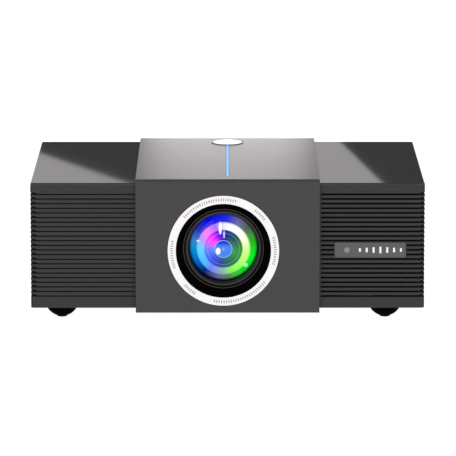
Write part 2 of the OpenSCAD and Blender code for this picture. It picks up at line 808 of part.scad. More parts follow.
// The transformer, two capacitors, the choke and the switches' cooling plate.
module power_parts() {
    x = (psu_x0 + psu_x1) / 2;
    translate([x, psu_y0, psu_z + board_t]) {
        color("#c8a43a") translate([-transformer[0] / 2, 52, 0]) cube(transformer);
        color("#1c2c54") for (i = [0, 1]) translate([-8, 14 + capacitor_pitch * i, 0])
            cylinder(r = capacitor[0], h = capacitor[1]);
        color("#5a3a1c") translate([2, 100, 0]) tube(choke[0], choke[1], 0, choke[2]);
        color("#7d8086") translate([transformer[0] / 2, 12, 0]) cube(cooling_plate);
    }
}

// ---------------------------------------------------------------- optical engine
module engine_case() {
    x0 = engine_x0;
    x1 = engine_x1;
    y1 = engine_y0 + engine_d;
    color("#1b1b1d") difference() {
        block([x0, engine_y0, engine_z0], [x1, y1, engine_z0 + engine_h]);
        block([x0 + engine_wall, engine_y0 + engine_wall, optic_z0],
              [x1 - engine_wall, y1 - engine_wall, engine_z0 + engine_h + 1]);
        translate([lens_x, engine_y0 - 1, lens_z]) along_y() cylinder(r = barrel_r - 0.8, h = 4);
        translate([x1 - 3, optic_y, lens_z]) along_x() cylinder(r = lamp_r, h = 4);
    }
}
module engine_lid() color("#232325") {
    block([engine_x0, engine_y0, engine_z0 + engine_h],
          [engine_x1, engine_y0 + engine_d, engine_z0 + engine_h + lid_t]);
    for (i = [1 : 6])
        translate([engine_x0 + i * lid_rib[1], engine_y0 + 10, engine_z0 + engine_h + lid_t - eps])
            cube([lid_rib[0], engine_d - 20, lid_rib[2]]);
}
module fold_mirror() color("#cfd6dc") translate([lens_x, optic_y, 0]) rotate(45)
    block([-mirror_half, 0, optic_z0], [mirror_half, mirror_t, optic_z1]);
module optic_plate(x, t)
    block([lens_x + x, optic_y - optic_half, optic_z0],
          [lens_x + x + t, optic_y + optic_half, optic_z1]);
module lcd_panel() color("#26323f") optic_plate(panel_at, panel_t);
module fresnel_lenses() color("#dfe9ee") for (x = fresnel_at) optic_plate(x, fresnel_t);
module heat_glass() color("#bcd3d6") optic_plate(heat_glass_at, heat_glass_t);
module condenser_lens() color("#dfeef5") translate([engine_x1 + 3, optic_y, lens_z]) along_x()
    intersection() {
        cylinder(r = condenser_r, h = 12);
        translate([0, 0, condenser_ball_r]) sphere(r = condenser_ball_r);
    }
module lamp_house() color("#7c7f84") translate([engine_x1, optic_y, lens_z]) along_x() {
    tube(lamp_r, condenser_r + play, 0, lamp_l - fit);
    tube(lamp_r + 5, lamp_r - fit, fit, 2);
}
diode_t = 1.2;
diode_r = 10;
carrier_half = 20;
carrier_t = 1.5;
// The diode on its carrier, against a copper block.
module led_module() translate([led_x, optic_y, lens_z]) {
    color("#e8e8e0") block([0, -carrier_half, -carrier_half],
                           [carrier_t, carrier_half, carrier_half]);
    color("#e2c94e") translate([eps - diode_t, 0, 0]) along_x() cylinder(r = diode_r, h = diode_t);
    color("#b4693a") block([carrier_t - eps, -block_half, -block_half],
                           [carrier_t + block_t, block_half, block_half]);
}
pipe_z = [lens_z - 9, lens_z + 9];
module heat_pipes() color("#b4693a") for (z = pipe_z)
    translate([pipe_x, sink_y0 - 1, z]) along_y()
        cylinder(r = pipe_r, h = optic_y + block_half - 1 - sink_y0);
module heat_sink() {
    x0 = pipe_x - 25;
    x1 = pipe_x + 5.5;
    z0 = lens_z - 22;
    fins = 16;
    fin_t = 1;
    base_t = 2;
    pitch = (sink_d - fin_t) / (fins - 1);
    color("#9a9da1") difference() {
        union() {
            for (i = [0 : fins - 1]) block([x0, sink_y0 + i * pitch, z0],
                                           [x1, sink_y0 + i * pitch + fin_t, z0 + sink_h]);
            block([x0, sink_y0, z0], [x1, sink_y0 + sink_d, z0 + base_t]);
        }
        for (z = pipe_z) translate([pipe_x, sink_y0 - 2, z]) along_y()
            cylinder(r = pipe_r + 0.05, h = sink_d + 4);
    }
}

// ---------------------------------------------------------------- fans and speakers
fan_r = fan_size / 2 - 1.5;
fan_hole_inset = 4.4;
fan_hole_r = 2.1;
fan_flange_t = 3;
hub_r = 13;
hub_t = 1.6;
spoke_w = 3;
blade_t = 1.3;
blade_chord = 18;
blade_angle = 42;
// A fan lies with its axis on Z, its hub plate at the bottom.
module fan_frame() {
    difference() {
        linear_extrude(fan_t) difference() {
            rounded_rect(fan_size, fan_size, 3);
            circle(r = fan_r);
            for (x = [-1, 1], y = [-1, 1])
                translate([x * (fan_size / 2 - fan_hole_inset), y * (fan_size / 2 - fan_hole_inset)])
                    circle(r = fan_hole_r);
        }
        tube(fan_size, fan_size / 2 + 1, fan_flange_t, fan_t - fan_flange_t);
    }
    difference() {
        union() {
            cylinder(r = hub_r, h = hub_t);
            for (a = [45 : 90 : 315]) rotate(a) translate([hub_r - 1, -spoke_w / 2, 0])
                cube([fan_r - hub_r + 1.6, spoke_w, hub_t]);
            cylinder(r = 4, h = 8);
        }
        translate([0, 0, 0.8]) cylinder(r = screw_r + run, h = 9);
    }
}
module fan_rotor() {
    blades = 9;
    difference() {
        translate([0, 0, 4]) cylinder(r = hub_r, h = fan_t - 5);
        translate([0, 0, 3]) cylinder(r = hub_r - 1.4, h = fan_t - 6.5);
    }
    translate([0, 0, 1.2]) cylinder(r = screw_r, h = fan_t - 4);
    intersection() {
        tube(fan_r - 0.8, hub_r - 0.6, 3, fan_t - 1.5);
        union() for (i = [0 : blades - 1]) rotate(i * 360 / blades)
            translate([fan_r / 2 + hub_r / 2, 0, fan_t / 2]) rotate([blade_angle, 0, 0])
                cube([fan_r - hub_r + 3, blade_t, blade_chord], center = true);
    }
}
fan_z = lens_z + 5;
fan_x = half_w - wall - rib_t - 0.5;
right_fan_y = sink_y0 + sink_d / 2;
left_fan_y = y_mid + 14;
module at_right_fan() translate([fan_x - fan_t, right_fan_y, fan_z]) along_x() children();
module at_left_fan() translate([-fan_x + fan_t, left_fan_y, fan_z]) rotate([0, -90, 0]) children();
module right_fan_frame() color("#1c1c1e") at_right_fan() fan_frame();
module right_fan_rotor() color("#2a2a2d") at_right_fan() fan_rotor();
module left_fan_frame() color("#1c1c1e") at_left_fan() fan_frame();
module left_fan_rotor() color("#2a2a2d") at_left_fan() fan_rotor();

speaker_r = speaker_size / 2 - 2.5;
speaker_flange_t = 2;
basket_h = 8;
basket_end_r = 11;
magnet_r = 13;
magnet_h = 6;
cone_end_r = 7;
module at_speakers() {
    translate([fan_x, y_rear - 35, lens_z]) rotate([0, -90, 0]) children();
    translate([-fan_x, y_front + 35, lens_z]) rotate([0, 90, 0]) children();
}
module speaker_frames() color("#222224") at_speakers() {
    linear_extrude(speaker_flange_t) difference() {
        rounded_rect(speaker_size, speaker_size, 4);
        circle(r = speaker_r);
    }
    difference() {
        translate([0, 0, speaker_flange_t - eps])
            cylinder(r1 = speaker_r + 1, r2 = basket_end_r, h = basket_h);
        translate([0, 0, speaker_flange_t - 2 * eps])
            cylinder(r1 = speaker_r, r2 = basket_end_r - 1.4, h = basket_h - 1.2);
    }
    translate([0, 0, speaker_flange_t + basket_h - 2 * eps])
        cylinder(r = magnet_r, h = magnet_h);
}
module speaker_cones() color("#3a3a3a") at_speakers() difference() {
    translate([0, 0, 1]) cylinder(r1 = speaker_r - 0.4, r2 = cone_end_r, h = basket_h - 1);
    translate([0, 0, 1 - eps])
        cylinder(r1 = speaker_r - 1.4, r2 = cone_end_r - 1, h = basket_h - 1.8);
}

// ---------------------------------------------------------------- projection lens
seat_depth = barrel_depth + 11;      // front edge of the front glass
stop_depth = barrel_depth + 24;
stop_r = 14.8;
mouth_r = 28.9;
middle_r = 19;
rear_r = 24.6;
rear_depth = barrel_depth + barrel_l - 13;
guide_depth = wall + 2.6;            // front end of the guide rod
shaft_end = ear_depth + ear_t + 5;   // rear end of the motor's shaft, inside the motor
module lens_barrel() {
    end = barrel_depth + barrel_l;
    bore = glass_r + seat;
    middle_bore = middle_r + seat;
    rear_bore = rear_r + seat;
    color("#0c0c0d") at_lens() rotate_extrude() polygon([
        [barrel_r, barrel_depth], [barrel_r, end], [rear_bore, end], [rear_bore, end - 18],
        [23.2, end - 18], [23.2, stop_depth + 11], [middle_bore, stop_depth + 11],
        [middle_bore, stop_depth + 1], [stop_r, stop_depth + 1], [stop_r, stop_depth],
        [20, stop_depth - 4], [20, stop_depth - 5], [24.5, seat_depth + 3.8],
        [bore, seat_depth + 3.8], [bore, barrel_depth + 3], [mouth_r, barrel_depth + 3],
        [mouth_r, barrel_depth]]);
}
module retaining_ring() color("#3b3a3b") at_lens() rotate_extrude() polygon([
    [glass_r - 1, barrel_depth + 1.4], [glass_r, barrel_depth + 0.5],
    [mouth_r - seat, barrel_depth + 0.5], [mouth_r - seat, barrel_depth + 2.9],
    [glass_r, barrel_depth + 2.9], [glass_r, seat_depth - 0.6],
    [glass_r - 1, seat_depth - 0.6]]);
// A glass of radius r whose edge runs from depth a to b, with convex faces of radius f and g.
module glass(r, a, b, f, g) at_lens() rotate_extrude() intersection() {
    translate([0, a - r]) square([r, b - a + 2 * r]);
    translate([0, a + sqrt(f * f - r * r)]) circle(r = f, $fn = 720);
    translate([0, b - sqrt(g * g - r * r)]) circle(r = g, $fn = 720);
}
module front_element() color("#7fa6e8") glass(glass_r, seat_depth, seat_depth + 3, 62, 120);
module middle_element() color("#8fb0e0") 
    glass(middle_r, stop_depth + 4.2, stop_depth + 6, 60, 90);
module rear_element() color("#8fb0e0")
    glass(rear_r, rear_depth, rear_depth + 3, 60, 120);
// Collar clamped round the barrel, which holds the motor's shaft and runs on the guide rod.
module focus_drive() color("#303033") at_lens() difference() {
    union() {
        translate([0, 0, carriage_depth]) cylinder(r = barrel_r + 4, h = carriage_l);
        translate([-drive_r - 5, -6, carriage_depth]) cube([2 * drive_r + 10, 12, carriage_l]);
    }
    translate([0, 0, carriage_depth - 1]) cylinder(r = barrel_r + run, h = carriage_l + 2);
    for (s = [-1, 1]) translate([s * drive_r, 0, carriage_depth - 1])
        cylinder(r = screw_r + run, h = carriage_l + 2);
}
// The motor's threaded shaft, which slides in and out without turning.
module focus_screw() color("#c7c9cc") at_lens() translate([drive_r, 0, carriage_depth - 2]) {
    cylinder(r = screw_r, h = shaft_end - carriage_depth + 2);
    cylinder(r = screw_r + 1.3, h = 2 - fit);
}
// Fixed tube that guides the barrel: the motor is on its right ear, the guide rod on its left.
module lens_mount() {
    flange = 84;
    rear = mount_flange_depth;
    color("#26262a") at_lens() difference() {
        union() {
            translate([0, 0, mount_depth]) cylinder(r = barrel_r + 3.2, h = rear - mount_depth + 1);
            translate([-flange / 2, -flange / 2, rear]) cube([flange, flange, mount_flange_t]);
            translate([-drive_r - 8, -7, ear_depth]) cube([2 * drive_r + 16, 14, ear_t]);
            translate([drive_r, 0, ear_depth + ear_t - eps]) cylinder(r = motor_r, h = motor_l);
            translate([-drive_r, 0, guide_depth])
                cylinder(r = screw_r, h = ear_depth - guide_depth + ear_t - eps);
        }
        translate([0, 0, mount_depth - 1]) cylinder(r = barrel_r + 0.15, h = rear + mount_flange_t);
        translate([drive_r, 0, ear_depth - 1])
            cylinder(r = screw_r + run, h = shaft_end + focus_travel + 2 - ear_depth);
    }
}

base_tray();
centre_cover();
left_wing();
right_wing();
left_top_plate();
right_top_plate();
io_panel();
lens_trim_ring();
lens_shroud();
badge_plate();
ir_window();
ir_receiver();
power_button();
button_bezel();
light_guide();
top_board();
foot_pad(front_feet[0]);  // foot_left_pad
foot_screw(front_feet[0]);  // foot_left_screw
foot_pad(front_feet[1]);  // foot_right_pad
foot_screw(front_feet[1]);  // foot_right_screw
foot_nuts();
rear_feet();
tripod_insert();
bracket_inserts();
case_screws();
socket_shells();
socket_tongues();
audio_jacks();
power_inlet();
inlet_pins();
main_board();
processor_sink();
power_board();
power_parts();
engine_case();
engine_lid();
fold_mirror();
lcd_panel();
fresnel_lenses();
heat_glass();
condenser_lens();
lamp_house();
led_module();
heat_pipes();
heat_sink();
right_fan_frame();
right_fan_rotor();
left_fan_frame();
left_fan_rotor();
intake_filter();
speaker_frames();
speaker_cones();
lens_mount();
lens_barrel();
retaining_ring();
front_element();
middle_element();
rear_element();
focus_drive();
focus_screw();
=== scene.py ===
"""Home projector: its finishes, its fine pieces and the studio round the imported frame."""
from __future__ import annotations

import logging
import math
from dataclasses import dataclass, field
from enum import Enum
from typing import Iterable, Optional, Sequence, Union

import bpy
from mathutils import Matrix, Vector

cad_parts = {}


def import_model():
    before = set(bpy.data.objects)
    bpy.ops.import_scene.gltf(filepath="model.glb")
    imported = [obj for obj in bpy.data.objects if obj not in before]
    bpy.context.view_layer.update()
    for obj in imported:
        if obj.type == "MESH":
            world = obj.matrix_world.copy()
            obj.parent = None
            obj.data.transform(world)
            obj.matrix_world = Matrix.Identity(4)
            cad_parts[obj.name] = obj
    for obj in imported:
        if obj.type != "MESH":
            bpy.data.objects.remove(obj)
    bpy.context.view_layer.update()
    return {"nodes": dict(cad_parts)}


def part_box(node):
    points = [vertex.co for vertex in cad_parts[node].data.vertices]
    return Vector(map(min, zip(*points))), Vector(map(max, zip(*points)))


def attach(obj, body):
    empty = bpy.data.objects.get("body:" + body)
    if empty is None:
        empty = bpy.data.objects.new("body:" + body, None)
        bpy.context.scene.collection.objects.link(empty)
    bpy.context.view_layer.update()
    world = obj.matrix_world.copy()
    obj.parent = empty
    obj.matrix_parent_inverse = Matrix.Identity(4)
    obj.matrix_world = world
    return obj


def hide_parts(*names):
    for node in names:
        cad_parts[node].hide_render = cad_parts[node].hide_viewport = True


LOG = logging.getLogger("projector")
MM = 0.001
FLOW_MARK = 45 * MM      # how broad the flow marks in moulded plastic are
MERGE = 0.002 * MM       # points nearer than this are one
FLAT = math.radians(0.3)  # faces nearer to flat than this are one

Colour = tuple[float, float, float]
Number = Union[float, "Wire"]
Tint = Union[Colour, "Wire"]


class Body(Enum):
    """The rigid bodies that a piece can ride on."""

    CASE = "case"
    BUTTON = "button"
    LENS = "lens"


class Along(Enum):
    """The axis that a turned piece stands on."""

    X = "X"
    Y = "Y"
    Z = "Z"


# ------------------------------------------------------------------ shader maths
class Wire:
    """One value in a shader, on which Python's own operators add Math nodes."""

    def __init__(self, graph: "Graph", socket: bpy.types.NodeSocket) -> None:
        """Keeps the socket that carries the value."""
        self.graph = graph
        self.socket = socket

    def __add__(self, other: Number) -> "Wire":
        """The sum."""
        return self.graph.maths("ADD", self, other)

    def __sub__(self, other: Number) -> "Wire":
        """The difference."""
        return self.graph.maths("SUBTRACT", self, other)

    def __mul__(self, other: Number) -> "Wire":
        """The product."""
        return self.graph.maths("MULTIPLY", self, other)

    def __truediv__(self, other: Number) -> "Wire":
        """The quotient."""
        return self.graph.maths("DIVIDE", self, other)

    def __rsub__(self, other: Number) -> "Wire":
        """The difference, with this value taken away."""
        return self.graph.maths("SUBTRACT", other, self)

    def __rtruediv__(self, other: Number) -> "Wire":
        """The quotient, with this value below the line."""
        return self.graph.maths("DIVIDE", other, self)

    def __abs__(self) -> "Wire":
        """The value without its sign."""
        return self.graph.maths("ABSOLUTE", self)

    __radd__ = __add__
    __rmul__ = __mul__


class Graph:
    """The nodes of one material, built up by expressions."""

    def __init__(self, name: str) -> None:
        """Starts an empty material.

        Args:
            name: The material's name.
        """
        self.material = bpy.data.materials.new(name)
        self.material.use_nodes = True
        self.tree = self.material.node_tree
        self.tree.nodes.clear()
        self.output = self.tree.nodes.new("ShaderNodeOutputMaterial")

    def node(self, kind: str, settings: Optional[dict[str, object]] = None,
             inputs: Optional[dict[Union[str, int], object]] = None) -> bpy.types.Node:
        """Adds one node.

        Args:
            kind: The node's type.
            settings: Its own settings, set first; "stops" gives a colour ramp's stops.
            inputs: The value or the wire of each of its sockets.

        Returns:
            The new node.
        """
        node = self.tree.nodes.new(kind)
        for key, value in (settings or {}).items():
            if key == "stops":
                self._set_stops(node, value)
            else:
                setattr(node, key, value)
        for key, value in (inputs or {}).items():
            self._feed(node.inputs[key], value)
        return node

    def _set_stops(self, node: bpy.types.Node, stops: Sequence[tuple[float, Colour]]) -> None:
        """Gives a colour ramp its stops.

        Args:
            node: The ramp's node.
            stops: Each stop's place and colour, in order.
        """
        elements = node.color_ramp.elements
        while len(elements) < len(stops):
            elements.new(1.0)
        for element, (place, colour) in zip(elements, stops):
            element.position = place
            element.color = (*colour, 1.0)

    def _feed(self, socket: bpy.types.NodeSocket, value: object) -> None:
        """Links a wire to a socket, or sets the socket's own value.

        Args:
            socket: The socket.
            value: A wire, or a value; a colour gets its alpha here.
        """
        if isinstance(value, Wire):
            self.tree.links.new(value.socket, socket)
        elif socket.type == "RGBA" and len(value) == 3:
            socket.default_value = (*value, 1.0)
        else:
            socket.default_value = value

    def maths(self, operation: str, *values: Number) -> Wire:
        """The result of one Math node on the values."""
        node = self.node("ShaderNodeMath", {"operation": operation}, dict(enumerate(values)))
        return Wire(self, node.outputs[0])

    def mix(self, factor: Number, first: Tint, second: Tint) -> Wire:
        """The colour between the first, at factor 0, and the second, at 1."""
        node = self.node("ShaderNodeMix", {"data_type": "RGBA"}, {0: factor, 6: first, 7: second})
        return Wire(self, node.outputs[2])

    def smooth(self, value: Wire, low: float, high: float) -> Wire:
        """A soft step from 0, where the value is low, to 1, where it is high."""
        node = self.node("ShaderNodeMapRange", {"interpolation_type": "SMOOTHSTEP"},
                         {"Value": value, "From Min": low, "From Max": high})
        return Wire(self, node.outputs[0])

    def place(self, centre: Sequence[float] = (0.0, 0.0, 0.0),
              stretch: Sequence[float] = (1.0, 1.0, 1.0)) -> Wire:
        """The point on the piece.

        Args:
            centre: The point that the place is counted from.
            stretch: How much each axis is stretched.

        Returns:
            The place, a vector.
        """
        point = self.node("ShaderNodeTexCoord").outputs["Object"]
        moved = self.node("ShaderNodeMapping", {"vector_type": "POINT"}, {
            "Vector": Wire(self, point), "Scale": tuple(stretch),
            "Location": tuple(-c * s for c, s in zip(centre, stretch))})
        return Wire(self, moved.outputs[0])

    def axes(self, point: Wire) -> tuple[Wire, Wire, Wire]:
        """A point's three coordinates."""
        node = self.node("ShaderNodeSeparateXYZ", None, {0: point})
        return Wire(self, node.outputs[0]), Wire(self, node.outputs[1]), Wire(self, node.outputs[2])

    def noise(self, point: Wire, grain: float, detail: float = 2.0) -> Wire:
        """Noise from 0 to 1 whose grains are so many metres across."""
        node = self.node("ShaderNodeTexNoise", None,
                         {"Vector": point, "Scale": 1.0 / grain, "Detail": detail})
        return Wire(self, node.outputs[0])

    def ramp(self, factor: Wire, stops: Sequence[tuple[float, Colour]]) -> Wire:
        """The colour at a place along a ramp."""
        node = self.node("ShaderNodeValToRGB", {"stops": stops}, {0: factor})
        return Wire(self, node.outputs[0])

    def bump(self, height: Wire, depth: float) -> Wire:
        """The normal of a surface that stands so many metres proud where the height is 1."""
        node = self.node("ShaderNodeBump", None,
                         {"Height": height, "Distance": depth, "Strength": 1.0})
        return Wire(self, node.outputs[0])

    def surface(self, **sockets: object) -> bpy.types.Material:
        """Closes the material with a Principled shader.

        Args:
            sockets: The shader's sockets, with underscores for spaces.

        Returns:
            The finished material.
        """
        named = {key.replace("_", " "): value for key, value in sockets.items()}
        shader = self.node("ShaderNodeBsdfPrincipled", None, named)
        self.tree.links.new(shader.outputs[0], self.output.inputs["Surface"])
        return self.material


# ------------------------------------------------------------------ finishes
@dataclass(frozen=True)
class Finish:
    """A finish that pieces are dressed in.

    Attributes:
        name: The material's name.
        colour: Its main colour.
        roughness: Its mean roughness.
    """

    name: str
    colour: Colour
    roughness: float = 0.5

    def build(self) -> bpy.types.Material:
        """The finished material, which each kind of finish makes in its own way."""
        raise NotImplementedError(self.name)


@dataclass(frozen=True)
class Moulded(Finish):
    """Moulded plastic or rubber with a spark-eroded grain and faint flow marks.

    Attributes:
        grain: How broad the grain is.
        depth: How deep the grain is.
        mottle: How far the flow marks shift the colour.
        level: How strongly it mirrors.
    """

    grain: float = 0.35 * MM
    depth: float = 0.012 * MM
    mottle: float = 0.06
    level: float = 0.5

    def skin(self, graph: Graph, point: Wire) -> tuple[Wire, Wire, Wire]:
        """The colour, the roughness and the normal of the moulded skin.

        Args:
            graph: The material's nodes.
            point: The place on the piece.

        Returns:
            The three wires.
        """
        fine = graph.noise(point, self.grain)
        broad = graph.noise(point, FLOW_MARK, 3.0)
        dark = tuple(c * (1 - self.mottle) for c in self.colour)
        light = tuple(c * (1 + self.mottle) for c in self.colour)
        return (graph.mix(broad, dark, light), self.roughness + (fine - 0.5) * 0.12,
                graph.bump(fine, self.depth))

    def build(self) -> bpy.types.Material:
        """Makes the material.

        Returns:
            The finished material.
        """
        graph = Graph(self.name)
        colour, roughness, normal = self.skin(graph, graph.place())
        return graph.surface(Base_Color=colour, Roughness=roughness,
                             Specular_IOR_Level=self.level, Normal=normal)


@dataclass(frozen=True)
class Louvred(Moulded):
    """Moulded plastic with painted shade inside its slots: dark and dull a little way in from the
    outside.

    Attributes:
        low: The lowest corner of the wing.
        high: The highest corner of the wing.
        reach: How far in from the outside the painted shade in the slots starts.
    """

    low: Sequence[float] = (0.0, 0.0, 0.0)
    high: Sequence[float] = (0.0, 0.0, 0.0)
    reach: float = 0.35 * MM

    def build(self) -> bpy.types.Material:
        """Makes the material.

        Returns:
            The finished material.
        """
        graph = Graph(self.name)
        point = graph.place()
        colour, roughness, normal = self.skin(graph, point)
        depth: Optional[Wire] = None
        for axis, value in enumerate(graph.axes(point)):
            middle = (self.low[axis] + self.high[axis]) / 2
            half = (self.high[axis] - self.low[axis]) / 2
            under = half - abs(value - middle)
            depth = under if depth is None else graph.maths("MINIMUM", depth, under)
        # Painted shade: deeper than reach inside the wing's outer box, the colour goes near black
        # and dull.
        inside = graph.smooth(depth, self.reach, self.reach * 2)
        return graph.surface(
            Base_Color=graph.mix(inside, colour, (0.001, 0.001, 0.001)),
            Roughness=graph.maths("MAXIMUM", inside * 0.95, roughness),
            Specular_IOR_Level=self.level, Normal=normal)


@dataclass(frozen=True)
class Gloss(Finish):
    """Polished plastic with a trace of orange peel and of handling.

    Attributes:
        peel: How high the orange peel stands.
        level: How strongly it mirrors.
    """

    peel: float = 0.0008 * MM
    level: float = 0.5

    def build(self) -> bpy.types.Material:
        """Makes the material.

        Returns:
            The finished material.
        """
        graph = Graph(self.name)
        point = graph.place()
        peel = graph.noise(point, 9 * MM, 1.0)
        wipe = graph.noise(graph.place(stretch=(1.0, 0.25, 1.0)), 22 * MM, 4.0)
        return graph.surface(
            Base_Color=graph.mix(wipe, self.colour, tuple(c * 1.15 for c in self.colour)),
            Roughness=self.roughness + wipe * 0.01,
            Specular_IOR_Level=self.level,
            Normal=graph.bump(peel, self.peel))


@dataclass(frozen=True)
class Metal(Finish):
    """Bare or plated metal with fine tool marks along one axis.

    Attributes:
        along: The axis that the tool marks run along.
        depth: How deep the tool marks are.
    """

    along: Along = Along.Y
    depth: float = 0.004 * MM

    def build(self) -> bpy.types.Material:
        """Makes the material.

        Returns:
            The finished material.
        """
        graph = Graph(self.name)
        stretch = tuple(0.04 if axis is self.along else 1.0 for axis in Along)
        marks = graph.noise(graph.place(stretch=stretch), 0.3 * MM)
        tarnish = graph.noise(graph.place(), 12 * MM, 3.0)
        return graph.surface(
            Base_Color=graph.mix(tarnish, tuple(c * 0.86 for c in self.colour), self.colour),
            Metallic=1.0,
            Roughness=self.roughness + (marks - 0.5) * 0.2,
            Normal=graph.bump(marks, self.depth))


@dataclass(frozen=True)
class Board(Finish):
    """A circuit board: solder mask over copper tracks, with tinned pads.

    Attributes:
        pitch: How far apart the pads are.
    """

    pitch: float = 2.54 * MM

    def build(self) -> bpy.types.Material:
        """Makes the material.

        Returns:
            The finished material.
        """
        graph = Graph(self.name)
        turn = math.tau / self.pitch
        x, y, z = graph.axes(graph.place())
        rows = graph.maths("SINE", (y + z) * turn)
        columns = graph.maths("SINE", x * turn)
        pads = graph.smooth(rows * columns, 0.86, 0.93)
        tracks = graph.smooth(abs(graph.noise(graph.place(), 9 * MM) - 0.5), 0.03, 0.012)
        masked = graph.mix(tracks, self.colour, tuple(c * 1.8 for c in self.colour))
        return graph.surface(
            Base_Color=graph.mix(pads, masked, (0.62, 0.60, 0.56)),
            Metallic=pads,
            Roughness=self.roughness - tracks * 0.1,
            Normal=graph.bump(tracks + pads, 0.04 * MM))


@dataclass(frozen=True)
class Woven(Finish):
    """Fine woven mesh or pressed paper, from threads that cross.

    Attributes:
        thread: How far apart the threads are.
    """

    thread: float = 0.5 * MM

    def build(self) -> bpy.types.Material:
        """Makes the material.

        Returns:
            The finished material.
        """
        graph = Graph(self.name)
        turn = math.pi / self.thread
        x, y, z = graph.axes(graph.place())
        warp = abs(graph.maths("SINE", (x + y) * turn))
        weft = abs(graph.maths("SINE", z * turn))
        weave = graph.maths("MAXIMUM", warp, weft)
        return graph.surface(
            Base_Color=graph.mix(weave, tuple(c * 0.3 for c in self.colour), self.colour),
            Roughness=self.roughness, Sheen_Weight=0.2, Specular_IOR_Level=0.2,
            Normal=graph.bump(weave, 0.1 * MM))


@dataclass(frozen=True)
class ClearGlass(Finish):
    """Polished optical glass inside the engine."""

    def build(self) -> bpy.types.Material:
        """Makes the material.

        Returns:
            The finished material.
        """
        graph = Graph(self.name)
        smear = graph.noise(graph.place(), 30 * MM, 3.0)
        return graph.surface(
            Base_Color=graph.mix(smear, self.colour, tuple(c * 0.9 for c in self.colour)),
            Roughness=self.roughness, IOR=1.5, Transmission_Weight=0.8)


@dataclass(frozen=True)
class LitGuide(Finish):
    """A light guide that glows, brightest along its middle.

    Attributes:
        edge: The colour along its sides.
        half: Half its width.
        power: How strongly it glows.
    """

    edge: Colour = (0.30, 0.48, 0.73)
    half: float = 1.2 * MM
    power: float = 1.0

    def build(self) -> bpy.types.Material:
        """Makes the material.

        Returns:
            The finished material.
        """
        graph = Graph(self.name)
        x, _, _ = graph.axes(graph.place())
        middle = graph.smooth(abs(x) / self.half, 0.8, 0.2)
        glow = graph.mix(middle, self.edge, self.colour)
        return graph.surface(
            Base_Color=graph.mix(0.9, glow, (0.0, 0.0, 0.0)), Roughness=self.roughness,
            Specular_IOR_Level=0.0, Emission_Color=glow, Emission_Strength=self.power)


